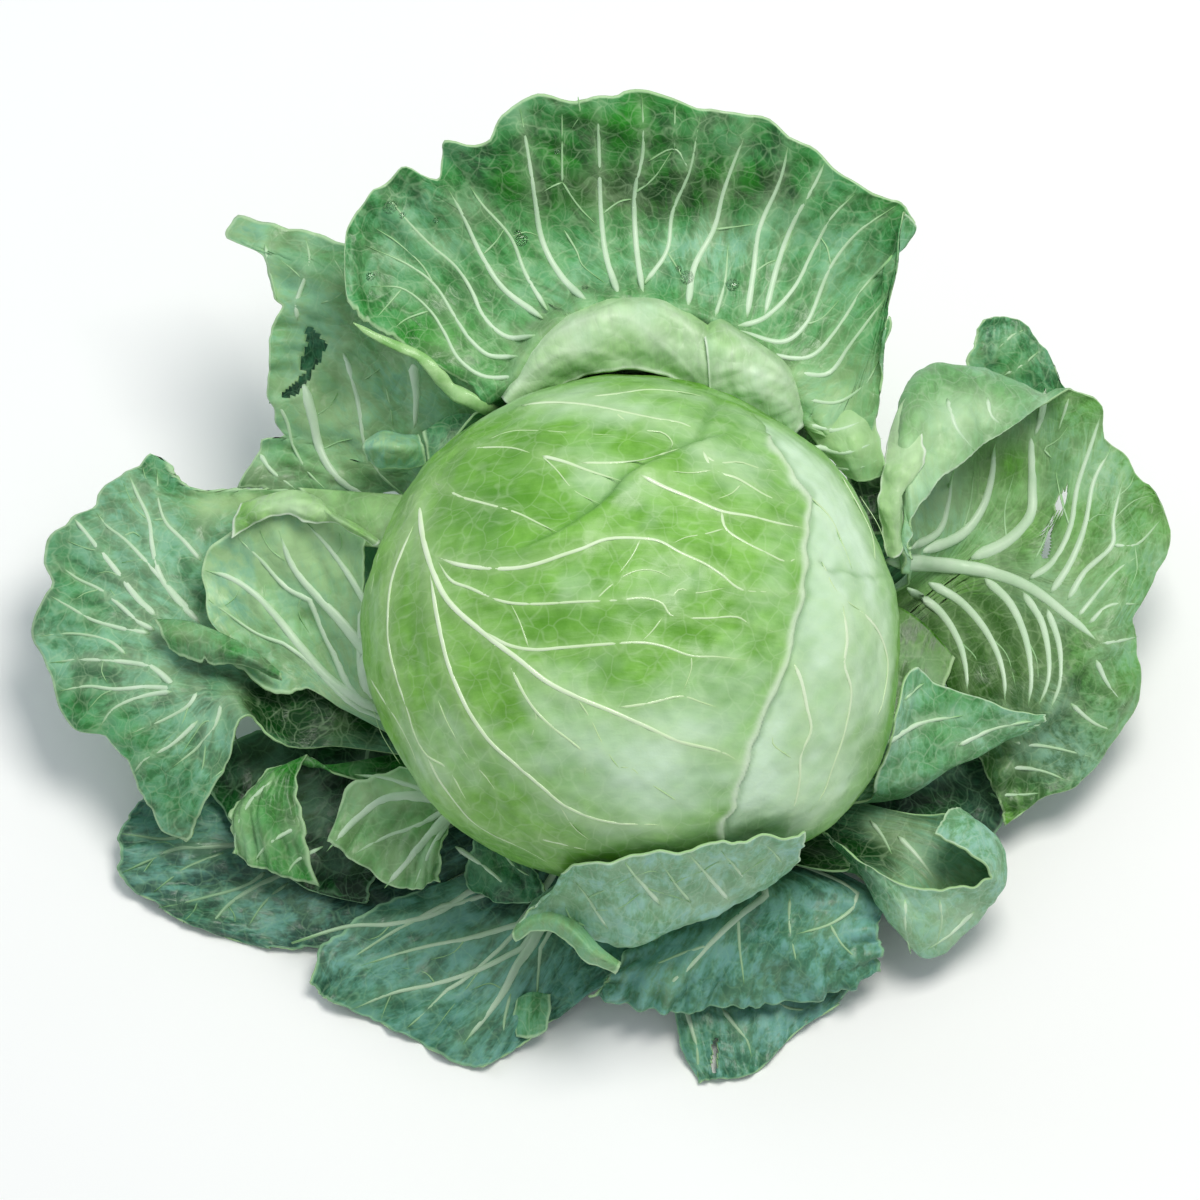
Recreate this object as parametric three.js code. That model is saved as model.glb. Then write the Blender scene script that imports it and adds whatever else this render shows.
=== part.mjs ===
// A head of white cabbage with its loose outer leaves, lying on the cut face of its stem. Millimetres, +Z up.
// The origin is the middle of the cut face. The head was seen from the -Y side, from 60 degrees above the surface.
import * as THREE from 'three';

const HEAD_RADIUS = 100;
const HEAD_HALF_HEIGHT = 82;
const HEAD_CENTRE_HEIGHT = 100;
const STEM_RADIUS = 19;
const STEM_HEIGHT = 17.3;
const LEAF_THICKNESS = 1.1;
const MIDRIB_EXTRA = 1.0;
const ROOT_RADIUS = 23;
const UNDER_RADIUS = 62;
const SLOPE = THREE.MathUtils.degToRad(60);

const part = new THREE.Group();

function add(name, geometry, colour, roughness) {
  const material = new THREE.MeshStandardMaterial({ color: colour, roughness, metalness: 0 });
  const mesh = new THREE.Mesh(geometry, material);
  mesh.name = name;
  part.add(mesh);
}

// A place on a leaf is given by x to the right, u up a plane that slopes at 60 degrees through the middle of the
// head, and z above the surface.
function place([x, u, z]) {
  const y = (u - Math.cos(SLOPE) * (z - HEAD_CENTRE_HEIGHT)) / Math.sin(SLOPE);
  return new THREE.Vector3(x, y, z);
}

// A point beside the head: at a bearing, a distance from the axis and a gap outside the head's smooth surface.
function beneath(bearing, radius, gap) {
  const angle = THREE.MathUtils.degToRad(bearing);
  const ratio = radius / (HEAD_RADIUS + gap);
  const z = HEAD_CENTRE_HEIGHT - (HEAD_HALF_HEIGHT + gap) * Math.sqrt(1 - ratio * ratio);
  return new THREE.Vector3(radius * Math.cos(angle), radius * Math.sin(angle), z);
}

function beside(bearing, height, gap) {
  const angle = THREE.MathUtils.degToRad(bearing);
  const ratio = (height - HEAD_CENTRE_HEIGHT) / (HEAD_HALF_HEIGHT + gap);
  const radius = (HEAD_RADIUS + gap) * Math.sqrt(1 - ratio * ratio);
  return new THREE.Vector3(radius * Math.cos(angle), radius * Math.sin(angle), height);
}

function along(points, count) {
  const curve = new THREE.CatmullRomCurve3(points, false, 'centripetal');
  return Array.from({ length: count + 1 }, (_, k) => curve.getPoint(k / count));
}

// A net of points over a leaf: the ribs run out from the stem, and curves across them give the rows between.
function net(ribs, across, out) {
  const lines = ribs.map((rib) => along(rib, out));
  return Array.from({ length: out + 1 }, (_, j) => along(lines.map((line) => line[j]), across));
}

function normalAt(grid, j, i) {
  const rows = grid.length - 1;
  const cells = grid[0].length - 1;
  const across = grid[j][Math.min(i + 1, cells)].clone().sub(grid[j][Math.max(i - 1, 0)]);
  const out = grid[Math.min(j + 1, rows)][i].clone().sub(grid[Math.max(j - 1, 0)][i]);
  return across.cross(out).normalize();
}

// The blade between two copies of the net, the upper one and one a leaf's thickness under it. Both are cut into
// triangles alike, and a band closes them round the rim.
function blade(grid, thickness) {
  const rows = grid.length;
  const cells = grid[0].length;
  const points = [];
  for (const side of [0.5, -0.5]) {
    for (let j = 0; j < rows; j += 1) {
      for (let i = 0; i < cells; i += 1) {
        const offset = normalAt(grid, j, i).multiplyScalar(side * thickness(i / (cells - 1), j / (rows - 1)));
        points.push(grid[j][i].clone().add(offset));
      }
    }
  }
  const at = (layer, j, i) => layer * rows * cells + j * cells + i;
  const faces = [];
  for (let j = 0; j < rows - 1; j += 1) {
    for (let i = 0; i < cells - 1; i += 1) {
      faces.push([at(0, j, i), at(0, j, i + 1), at(0, j + 1, i + 1)]);
      faces.push([at(0, j, i), at(0, j + 1, i + 1), at(0, j + 1, i)]);
      faces.push([at(1, j, i), at(1, j + 1, i + 1), at(1, j, i + 1)]);
      faces.push([at(1, j, i), at(1, j + 1, i), at(1, j + 1, i + 1)]);
    }
  }
  const rim = [];
  for (let i = 0; i < cells - 1; i += 1) rim.push([0, i]);
  for (let j = 0; j < rows - 1; j += 1) rim.push([j, cells - 1]);
  for (let i = cells - 1; i > 0; i -= 1) rim.push([rows - 1, i]);
  for (let j = rows - 1; j > 0; j -= 1) rim.push([j, 0]);
  rim.forEach(([j, i], k) => {
    const [nj, ni] = rim[(k + 1) % rim.length];
    faces.push([at(0, j, i), at(1, j, i), at(1, nj, ni)]);
    faces.push([at(0, j, i), at(1, nj, ni), at(0, nj, ni)]);
  });
  return solid(points, faces);
}

function solid(points, faces) {
  const geometry = new THREE.BufferGeometry();
  geometry.setAttribute('position', new THREE.Float32BufferAttribute(points.flatMap((p) => p.toArray()), 3));
  geometry.setIndex(faces.flat());
  return geometry;
}

// A leaf grows from the stem at a bearing, runs out under the head at a gap of its own, and goes on through the
// ribs given for it, in order of their bearings, anticlockwise round the stem as seen from above.
function leaf(name, colour, shape, ribs) {
  const last = ribs.length - 1;
  const lines = ribs.map((rib, k) => {
    const side = k / last - 0.5;
    const rising = shape.rising ?? [];
    return [
      beneath(shape.bearing + shape.root * side, ROOT_RADIUS, shape.gap),
      beneath(shape.bearing + shape.spread * side, UNDER_RADIUS, shape.gap),
      ...rising.map(([height, spread]) => beside(shape.bearing + spread * side, height, shape.gap)),
      ...rib.map(place),
    ];
  });
  const grid = net(lines, shape.across ?? 2 * last, shape.out ?? 2 * (lines[0].length - 1));
  const rib = shape.midrib ?? 0.5;
  const thickness = (s, t) => {
    const beside_rib = Math.exp(-(((s - rib) / 0.07) ** 2));
    return LEAF_THICKNESS + MIDRIB_EXTRA * beside_rib * (1 - t);
  };
  add(name, blade(grid, thickness), colour, 0.45);
}

// The stem: a short stump, cut across flat below.
function stem() {
  const profile = [[0, 0], [STEM_RADIUS - 1, 0], [STEM_RADIUS, 1.2], [STEM_RADIUS, 12], [STEM_RADIUS - 3, STEM_HEIGHT]];
  profile.push([0, STEM_HEIGHT]);
  const outline = profile.map(([r, z]) => new THREE.Vector2(r, z));
  const geometry = new THREE.LatheGeometry(outline, 28);
  geometry.rotateX(Math.PI / 2);
  add('stem', geometry, '#c9d8a0', 0.6);
}

// The head is a little fuller on its lower right side.
const FULL_SIDE = new THREE.Vector3(0.8, -0.54, -0.26).normalize();

// The lines of the head are set out on the sloping plane, as x and u.
const FOLD = [[-44, 28], [-26, 34], [-11, 43], [4, 58], [26, 70], [49, 75]];
const SEAM = [[58, 64], [67, 50], [67, 26], [64, -4], [56, -22], [46, -43], [41, -60], [36, -75]];

function distanceTo(line, x, u) {
  let nearest = Infinity;
  let side = 1;
  for (let k = 0; k < line.length - 1; k += 1) {
    const [ax, au] = line[k];
    const [bx, bu] = line[k + 1];
    const length = Math.hypot(bx - ax, bu - au);
    const t = Math.min(1, Math.max(0, ((x - ax) * (bx - ax) + (u - au) * (bu - au)) / length ** 2));
    const gap = Math.hypot(x - ax - t * (bx - ax), u - au - t * (bu - au));
    if (gap < nearest) {
      nearest = gap;
      side = Math.sign((bx - ax) * (u - au) - (bu - au) * (x - ax));
    }
  }
  return nearest * side;
}

// The head: leaves wrapped tightly over each other, grown into one ball. Its main wrapping leaf ends at a step on
// the right and has one soft fold over the top.
function relief(direction) {
  const x = HEAD_RADIUS * direction.x;
  const u = HEAD_RADIUS * Math.sin(SLOPE) * direction.y + HEAD_HALF_HEIGHT * Math.cos(SLOPE) * direction.z;
  const near = Math.sin(SLOPE) * direction.z - Math.cos(SLOPE) * direction.y;
  const seen = THREE.MathUtils.smoothstep(near, 0, 0.35);
  const seam = THREE.MathUtils.smoothstep(distanceTo(SEAM, x, u), -2, 2);
  const fold = distanceTo(FOLD, x, u);
  const ridge = Math.exp(-((fold / 7) ** 2)) * 2;
  const dent = THREE.MathUtils.smoothstep(fold, 0, 6) * Math.exp(-(((x + 22) / 34) ** 2) - (((u - 48) / 20) ** 2)) * 4;
  const fullness = 8 * Math.exp((direction.dot(FULL_SIDE) - 1) / 0.07);
  return fullness + seen * (ridge - dent - 1.6 * seam);
}

function head() {
  const turns = 56;
  const rings = 36;
  const points = [];
  const faces = [];
  const ball = (direction) => new THREE.Vector3(
    direction.x * (HEAD_RADIUS + relief(direction)),
    direction.y * (HEAD_RADIUS + relief(direction)),
    HEAD_CENTRE_HEIGHT + direction.z * (HEAD_HALF_HEIGHT + relief(direction)),
  );
  points.push(ball(new THREE.Vector3(0, 0, -1)));
  for (let j = 1; j < rings; j += 1) {
    for (let i = 0; i < turns; i += 1) {
      const down = Math.PI - (Math.PI * j) / rings;
      const round = (2 * Math.PI * i) / turns;
      const flat = Math.sin(down);
      points.push(ball(new THREE.Vector3(flat * Math.cos(round), flat * Math.sin(round), Math.cos(down))));
    }
  }
  points.push(ball(new THREE.Vector3(0, 0, 1)));
  const at = (j, i) => 1 + (j - 1) * turns + (i % turns);
  for (let i = 0; i < turns; i += 1) {
    faces.push([0, at(1, i + 1), at(1, i)]);
    faces.push([points.length - 1, at(rings - 1, i), at(rings - 1, i + 1)]);
    for (let j = 1; j < rings - 1; j += 1) {
      faces.push([at(j, i), at(j, i + 1), at(j + 1, i + 1)]);
      faces.push([at(j, i), at(j + 1, i + 1), at(j + 1, i)]);
    }
  }
  add('head', solid(points, faces), '#a9d07c', 0.35);
}

// The great leaf behind the head. It climbs the back of the head, bends over a lip and stands up round its rim.
function leafBack() {
  leaf('leaf_back', '#4f8a55', { bearing: 94, root: 30, spread: 52, gap: 4.5, rising: [[60, 66], [100, 72]] }, [
    [[69, 76, 116], [80, 66, 110], [86, 58, 101], [93, 80, 118], [96, 104, 138]],
    [[62, 83, 120], [66, 86, 124], [81, 98, 131], [92, 116, 146], [99, 136, 160]],
    [[56, 89, 124], [60, 99, 132], [77, 120, 140], [94, 141, 155], [106, 157, 168]],
    [[47, 94, 128], [51, 112, 140], [62, 137, 147], [77, 159, 165], [90, 168, 176]],
    [[36, 98, 131], [39, 120, 145], [43, 148, 150], [48, 174, 172], [50, 193, 190]],
    [[24, 101, 133], [26, 124, 148], [22, 152, 150], [14, 180, 176], [4, 203, 199]],
    [[8, 102, 134], [13, 126, 148], [0, 152, 149], [-19, 180, 175], [-36, 202, 196]],
    [[-10, 101, 133], [-4, 125, 147], [-26, 146, 146], [-49, 169, 166], [-67, 184, 180]],
    [[-28, 98, 131], [-26, 114, 142], [-52, 135, 141], [-73, 161, 158], [-86, 175, 168]],
    [[-44, 93, 127], [-49, 103, 134], [-71, 124, 136], [-90, 144, 146], [-103, 159, 156]],
    [[-56, 86, 122], [-66, 96, 127], [-84, 105, 131], [-98, 114, 136], [-107, 125, 142]],
  ]);
}

// The leaf behind on the left, partly under the great one, with its tip curled over.
function leafBackLeft() {
  leaf('leaf_back_left', '#5b9a63', { bearing: 138, root: 28, spread: 36, gap: 13.5, rising: [[50, 34]] }, [
    [[-55, 90, 95], [-74, 114, 102], [-104, 146, 108], [-150, 158, 104]],
    [[-64, 79, 89], [-86, 98, 94], [-112, 124, 99], [-140, 130, 97]],
    [[-71, 68, 82], [-90, 82, 84], [-114, 103, 87], [-138, 108, 88]],
    [[-79, 58, 71], [-98, 66, 71], [-120, 76, 71], [-142, 80, 71]],
    [[-86, 51, 60], [-105, 49, 57], [-127, 50, 56], [-149, 54, 55]],
  ]);
}

// The broad leaf on the left. Its lower side hangs down in a folded lobe.
function leafLeft() {
  leaf('leaf_left', '#6fa283', { bearing: 172, root: 28, spread: 44, gap: 8.5 }, [
    [[-97, 49, 76], [-112, 52, 76], [-142, 54, 69], [-166, 54, 64], [-176, 64, 60]],
    [[-102, 31, 68], [-124, 34, 66], [-154, 37, 63], [-178, 48, 62], [-198, 57, 58]],
    [[-104, 14, 62], [-128, 11, 58], [-160, 11, 58], [-188, 26, 58], [-219, 38, 50]],
    [[-106, -3, 56], [-128, -10, 52], [-163, -6, 56], [-195, 2, 54], [-226, 2, 44]],
    [[-108, -18, 51], [-130, -22, 48], [-164, -22, 57], [-192, -24, 50], [-216, -34, 38]],
    [[-110, -30, 48], [-132, -32, 47], [-158, -26, 60], [-178, -42, 49], [-198, -46, 34]],
    [[-111, -38, 46], [-131, -39, 47], [-150, -26, 62], [-165, -48, 50], [-182, -66, 30]],
    [[-112, -44, 45], [-128, -45, 47], [-144, -33, 61], [-154, -56, 47], [-167, -80, 22]],
  ]);
}

// The paler leaf inside it, curled up against the head.
function leafLeftInner() {
  leaf('leaf_left_inner', '#86bd85', { bearing: 182, root: 28, spread: 34, gap: 4.5 }, [
    [[-97, -22, 58], [-100, -4, 70], [-100, 19, 84], [-99, 37, 95]],
    [[-99, -25, 56], [-107, -4, 66], [-111, 22, 82], [-112, 45, 98]],
    [[-102, -27, 54], [-116, -7, 61], [-129, 15, 73], [-141, 43, 92]],
    [[-105, -29, 53], [-122, -13, 58], [-141, 2, 65], [-160, 21, 76]],
    [[-108, -30, 52], [-120, -23, 54], [-133, -24, 56], [-150, -13, 62]],
  ]);
}

// The narrow leaf that hangs down beside the folded lobe.
function leafLeftLobe() {
  leaf('leaf_left_lobe', '#5d9c55', { bearing: 196, root: 24, spread: 22, gap: 11.3 }, [
    [[-112, -51, 37], [-135, -53, 38], [-149, -66, 34], [-151, -84, 24]],
    [[-111, -53, 37], [-127, -50, 42], [-138, -66, 40], [-135, -92, 23]],
    [[-109, -55, 37], [-122, -48, 42], [-124, -70, 38], [-115, -99, 19]],
  ]);
}

// The dark leaf that lies lowest on the left.
function leafLowLeft() {
  leaf('leaf_low_left', '#2f5f3d', { bearing: 208, root: 26, spread: 36, gap: 17.5 }, [
    [[-112, -64, 15], [-139, -63, 14], [-165, -60, 13], [-184, -62, 12]],
    [[-109, -75, 13], [-135, -75, 11], [-165, -75, 10], [-194, -77, 11]],
    [[-105, -86, 12], [-131, -88, 9], [-157, -90, 8], [-194, -92, 7]],
    [[-97, -95, 11], [-124, -103, 7], [-150, -107, 5], [-176, -107, 4]],
    [[-86, -104, 10], [-108, -117, 5], [-127, -121, 3], [-144, -119, 2]],
  ]);
}

// The dark leaf between it and the broad one, deep in the gap.
function leafLeftDeep() {
  leaf('leaf_left_deep', '#28523a', { bearing: 202, root: 24, spread: 30, gap: 14.4 }, [
    [[-100, -30, 31], [-124, -34, 28], [-148, -40, 24], [-160, -60, 18]],
    [[-96, -47, 28], [-118, -58, 24], [-138, -70, 19], [-142, -84, 15]],
    [[-90, -61, 25], [-104, -75, 20], [-120, -90, 16], [-122, -98, 13]],
    [[-82, -73, 24], [-90, -87, 20], [-98, -99, 16], [-98, -104, 13]],
  ]);
}

// The small leaf at the front left, pleated along its pale ribs.
function leafPleated() {
  leaf('leaf_pleated', '#7fb36c', { bearing: 211, root: 20, spread: 20, gap: 4.8, across: 8 }, [
    [[-75, -54, 46], [-88, -52, 50], [-105, -58, 48], [-114, -82, 38]],
    [[-71, -58, 44], [-82, -64, 49], [-94, -75, 46], [-104, -87, 38]],
    [[-68, -62, 43], [-75, -73, 46], [-81, -86, 43], [-84, -98, 34]],
    [[-66, -66, 41], [-69, -77, 43], [-71, -86, 42], [-72, -94, 36]],
  ]);
}

// The small leaf under the front of the head.
function leafFrontLeft() {
  leaf('leaf_front_left', '#5f9a52', { bearing: 238, root: 20, spread: 20, gap: 4.8, across: 8 }, [
    [[-58, -74, 36], [-60, -82, 34], [-62, -90, 30], [-60, -98, 26]],
    [[-52, -80, 36], [-51, -88, 35], [-51, -96, 32], [-51, -102, 27]],
    [[-46, -84, 36], [-42, -91, 35], [-40, -96, 33], [-40, -103, 28]],
    [[-40, -87, 36], [-35, -91, 35], [-33, -95, 34], [-32, -100, 30]],
  ]);
}

// The broad leaf at the bottom, spread out flat towards the viewer.
function leafBottom() {
  leaf('leaf_bottom', '#46795a', { bearing: 248, root: 28, spread: 40, gap: 9, midrib: 0.6 }, [
    [[-62, -92, 21], [-90, -102, 17], [-112, -116, 13], [-122, -133, 8]],
    [[-45, -96, 22], [-67, -112, 17], [-90, -127, 11], [-111, -141, 5]],
    [[-32, -97, 22], [-45, -120, 17], [-64, -141, 10], [-86, -152, 2]],
    [[-21, -98, 22], [-32, -120, 17], [-45, -142, 11], [-60, -165, 2]],
    [[-11, -99, 21], [-21, -120, 16], [-32, -139, 11], [-41, -156, 5]],
    [[6, -102, 18], [1, -120, 13], [-8, -131, 11], [-19, -138, 8]],
  ]);
}

// The rolled leaf in front. It bulges out below the head and leans back on it with its free edge.
function leafFront() {
  leaf('leaf_front', '#5b9560', { bearing: 274, root: 28, spread: 40, gap: 4.8 }, [
    [[-37, -103, 44], [-43, -112, 54], [-39, -106, 66], [-29, -97, 76]],
    [[-25, -107, 46], [-22, -112, 60], [-22, -99, 78], [-22, -88, 99]],
    [[-6, -110, 48], [-4, -118, 62], [-4, -101, 84], [-6, -85, 108]],
    [[12, -110, 50], [13, -113, 65], [14, -97, 87], [15, -82, 111]],
    [[30, -106, 50], [32, -104, 67], [33, -91, 88], [34, -79, 111]],
    [[44, -99, 52], [51, -95, 70], [52, -85, 87], [52, -77, 105]],
    [[56, -90, 56], [62, -88, 74], [64, -82, 86], [66, -76, 98]],
  ]);
}

// The crumpled leaf at the front right. It rises to a crest and rolls down on the near side.
function leafFrontRight() {
  leaf('leaf_front_right', '#7ea9a0', { bearing: 298, root: 28, spread: 36, gap: 11 }, [
    [[3, -114, 27], [-4, -124, 29], [-9, -132, 26], [-15, -138, 20]],
    [[22, -107, 32], [16, -118, 34], [7, -131, 29], [4, -142, 19]],
    [[39, -100, 35], [32, -116, 35], [26, -131, 28], [22, -144, 17]],
    [[58, -99, 36], [51, -114, 36], [45, -129, 28], [43, -142, 16]],
    [[79, -99, 36], [73, -114, 33], [71, -126, 26], [69, -139, 14]],
    [[94, -102, 32], [94, -114, 28], [96, -123, 22], [94, -129, 14]],
  ]);
}

// The two lobes of the lowest leaf that hang out below the crumpled one.
function leafHanging() {
  leaf('leaf_hanging', '#6f9a93', { bearing: 284, root: 24, spread: 22, gap: 15.5 }, [
    [[22, -124, 13], [17, -142, 9], [19, -157, 5], [26, -170, 2]],
    [[30, -124, 14], [28, -142, 10], [31, -157, 6], [33, -169, 2]],
    [[45, -122, 15], [45, -141, 9], [45, -156, 5], [47, -167, 2]],
    [[64, -120, 14], [64, -133, 8], [62, -144, 5], [60, -154, 3]],
    [[82, -118, 12], [86, -124, 8], [84, -133, 6], [79, -141, 4]],
  ]);
}

// The cupped leaf at the lower right. Its near side turns up and shows the pale underside.
function leafLowRight() {
  leaf('leaf_low_right', '#9fc59a', { bearing: 322, root: 26, spread: 30, gap: 8.5 }, [
    [[82, -90, 46], [81, -84, 51], [75, -79, 55], [72, -76, 55]],
    [[92, -94, 40], [99, -111, 32], [96, -98, 48], [89, -88, 55]],
    [[103, -94, 33], [112, -124, 16], [109, -111, 34], [103, -96, 49]],
    [[112, -90, 31], [129, -112, 20], [126, -103, 35], [122, -97, 45]],
    [[118, -82, 33], [140, -96, 30], [139, -94, 39], [136, -93, 46]],
    [[118, -75, 36], [140, -82, 38], [133, -75, 50], [124, -82, 58]],
    [[112, -70, 39], [124, -68, 48], [119, -68, 56], [114, -77, 60]],
  ]);
}

// The dark leaf under them, deep in the gap at the lower right.
function leafRightDeep() {
  leaf('leaf_right_deep', '#28523a', { bearing: 328, root: 24, spread: 28, gap: 15.5 }, [
    [[72, -84, 28], [90, -96, 22], [104, -106, 12]],
    [[80, -74, 28], [100, -84, 22], [122, -94, 10]],
    [[89, -60, 28], [114, -66, 21], [140, -76, 9]],
    [[97, -42, 30], [126, -46, 20], [150, -56, 10]],
  ]);
}

// The great cupped leaf on the right. Its upper side folds back over the cup, its lower side spreads out low.
function leafRight() {
  leaf('leaf_right', '#84b389', { bearing: 8, root: 30, spread: 52, gap: 8.5, across: 22 }, [
    [[111, -9, 42], [124, -32, 36], [133, -51, 29], [139, -64, 23], [141, -72, 19]],
    [[116, -4, 42], [135, -26, 42], [148, -47, 32], [156, -62, 24], [159, -70, 19]],
    [[124, 4, 42], [150, -22, 47], [163, -37, 38], [174, -49, 28], [180, -54, 22]],
    [[129, 11, 42], [157, -13, 50], [174, -19, 46], [186, -21, 40], [193, -19, 36]],
    [[133, 17, 42], [165, 2, 50], [180, 0, 54], [189, 6, 52], [195, 9, 48]],
    [[133, 21, 43], [169, 15, 52], [186, 34, 60], [199, 49, 60], [205, 39, 56]],
    [[131, 23, 44], [163, 34, 54], [176, 52, 64], [184, 71, 70], [187, 77, 72]],
    [[129, 26, 45], [156, 49, 56], [163, 79, 76], [167, 90, 86], [171, 91, 88]],
    [[126, 28, 47], [142, 56, 58], [146, 94, 88], [144, 86, 98], [142, 75, 96]],
    [[122, 30, 50], [129, 60, 62], [124, 100, 94], [126, 86, 106], [129, 66, 100]],
    [[115, 28, 55], [115, 56, 68], [107, 96, 100], [109, 79, 112], [113, 52, 104]],
    [[107, 24, 63], [104, 41, 79], [100, 60, 98], [102, 56, 106], [105, 39, 102]],
    [[104, 17, 66], [103, 21, 76], [102, 30, 90], [103, 34, 96], [105, 26, 94]],
  ]);
}

// The flap in front of the cup.
function leafRightFlap() {
  leaf('leaf_right_flap', '#6fa777', { bearing: 338, root: 24, spread: 24, gap: 4.8 }, [
    [[90, -64, 44], [92, -58, 54], [98, -45, 66], [101, -34, 76]],
    [[103, -63, 40], [107, -58, 50], [106, -36, 64], [106, -14, 78]],
    [[116, -54, 40], [120, -51, 49], [118, -36, 61], [116, -20, 70]],
    [[127, -49, 42], [133, -46, 48], [133, -37, 56], [133, -26, 63]],
    [[139, -43, 46], [144, -40, 50], [146, -37, 53], [147, -31, 58]],
    [[150, -38, 51], [154, -35, 53], [156, -34, 54], [157, -32, 56]],
  ]);
}

// The dark leaf behind the cup, of which only the tip shows.
function leafRightTip() {
  leaf('leaf_right_tip', '#4c7a55', { bearing: 36, root: 22, spread: 20, gap: 14 }, [
    [[158, 66, 44], [167, 82, 56], [168, 90, 62], [169, 96, 66]],
    [[148, 68, 45], [156, 84, 60], [156, 101, 72], [156, 113, 77]],
    [[135, 70, 47], [142, 86, 63], [142, 105, 78], [142, 118, 83]],
    [[120, 70, 50], [126, 86, 64], [129, 105, 77], [133, 115, 82]],
  ]);
}

stem();
head();
leafBack();
leafBackLeft();
leafLeft();
leafLeftInner();
leafLeftLobe();
leafLowLeft();
leafLeftDeep();
leafPleated();
leafFrontLeft();
leafBottom();
leafFront();
leafFrontRight();
leafHanging();
leafLowRight();
leafRightDeep();
leafRight();
leafRightFlap();
leafRightTip();

export default part;
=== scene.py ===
import math

import bpy
import numpy as np
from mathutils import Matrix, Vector
from mathutils.kdtree import KDTree


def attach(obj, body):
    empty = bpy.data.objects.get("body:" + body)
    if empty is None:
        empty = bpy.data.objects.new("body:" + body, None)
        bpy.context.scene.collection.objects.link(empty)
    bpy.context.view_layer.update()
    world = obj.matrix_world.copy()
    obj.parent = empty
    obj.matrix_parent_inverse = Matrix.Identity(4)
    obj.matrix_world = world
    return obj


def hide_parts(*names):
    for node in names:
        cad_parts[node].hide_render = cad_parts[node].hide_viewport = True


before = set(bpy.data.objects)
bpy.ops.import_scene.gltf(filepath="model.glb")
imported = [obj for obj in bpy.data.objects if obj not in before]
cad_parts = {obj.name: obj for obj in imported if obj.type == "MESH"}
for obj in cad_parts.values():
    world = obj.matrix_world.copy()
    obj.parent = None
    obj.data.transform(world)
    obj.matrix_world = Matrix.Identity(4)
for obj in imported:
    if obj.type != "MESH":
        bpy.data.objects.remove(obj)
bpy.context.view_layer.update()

# The view: a long lens over the front of the cabbage, 60 degrees above the table, as in the photograph. The
# camera looks squarely at a plane through the middle of the head, on which the leaves and their ribs are
# set out.
SLOPE = math.radians(60)
HEAD_CENTRE_HEIGHT = 100
VIEW_MIDDLE = Vector((-0.01125, 0.00974, 0.1056))
VIEW_DISTANCE = 6.0
VIEW_WIDTH = 0.450

camera = bpy.data.objects.new("camera", bpy.data.cameras.new("camera"))
bpy.context.collection.objects.link(camera)
camera.data.sensor_width = 36
camera.data.lens = 36 * VIEW_DISTANCE / VIEW_WIDTH
camera.data.clip_end = 30
camera.location = VIEW_MIDDLE + VIEW_DISTANCE * Vector((0, -math.cos(SLOPE), math.sin(SLOPE)))
camera.rotation_euler = (math.pi / 2 - SLOPE, 0, 0)
bpy.context.scene.camera = camera


# The studio: a plain white table, a wide soft lamp over the cabbage, a weaker one from the left, and a pale
# even sky that gives the waxy leaves their cool reflections.
def linear(code):
    """The linear colour of an sRGB hex value."""
    parts = [int(code[k:k + 2], 16) / 255 for k in (1, 3, 5)]
    return (*(p / 12.92 if p <= 0.04045 else ((p + 0.055) / 1.055) ** 2.4 for p in parts), 1)


def put(tree, kind, sockets=None, **settings):
    """Adds a shader node with its settings. Each socket gets a value, or a link from a node or an
    output."""
    node = tree.nodes.new("ShaderNode" + kind)
    for key, value in settings.items():
        setattr(node, key, value)
    for key, value in (sockets or {}).items():
        if isinstance(value, bpy.types.Node):
            value = value.outputs[0]
        if isinstance(value, bpy.types.NodeSocket):
            tree.links.new(value, node.inputs[key])
        else:
            node.inputs[key].default_value = value
    return node


def blend(tree, share, first, second):
    """Mixes two colours, each a hex value or an output, by a share from 0 to 1."""
    first, second = (linear(c) if isinstance(c, str) else c for c in (first, second))
    node = put(tree, "Mix", {"Factor": share, 6: first, 7: second}, data_type="RGBA", clamp_factor=True)
    return node.outputs[2]


def new_material(name):
    material = bpy.data.materials.new(name)
    material.use_nodes = True
    material.node_tree.nodes.clear()
    return material, material.node_tree


def finish_material(tree, sockets):
    put(tree, "OutputMaterial", {"Surface": put(tree, "BsdfPrincipled", sockets)})


# Painted board: matt white with a very faint cloudiness.
board, tree = new_material("painted_board")
place = put(tree, "TexCoord").outputs["Object"]
cloud = put(tree, "TexNoise", {"Vector": place, "Scale": 6.0, "Detail": 2.0})
finish_material(tree, {"Base Color": blend(tree, cloud, "#fbfbfa", "#ffffff"), "Roughness": 0.9})

bpy.ops.object.select_all(action="DESELECT")
bpy.ops.mesh.primitive_plane_add(size=8)
floor = bpy.context.object
floor.name = "table"
floor.data.materials.append(board)

sky = bpy.data.worlds.new("sky")
sky.use_nodes = True
sky.node_tree.nodes["Background"].inputs["Color"].default_value = linear("#edf4fc")
sky.node_tree.nodes["Background"].inputs["Strength"].default_value = 0.46
bpy.context.scene.world = sky
bpy.context.scene.view_settings.view_transform = "Standard"


def lamp(name, place, aim, size, power, colour):
    """A square soft lamp that shines from a place towards another."""
    light = bpy.data.lights.new(name, "AREA")
    light.size = size
    light.energy = power
    light.color = linear(colour)[:3]
    thing = bpy.data.objects.new(name, light)
    bpy.context.collection.objects.link(thing)
    thing.location = place
    thing.rotation_euler = (Vector(aim) - Vector(place)).to_track_quat("-Z", "Y").to_euler()


lamp("lamp_above", (0.35, 0.1, 1.6), (0, 0, 0.1), 0.7, 17.5, "#fffdf6")
lamp("lamp_left", (-1.1, 0.6, 0.9), (0, 0, 0.1), 0.8, 3, "#f2f8ff")


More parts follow.
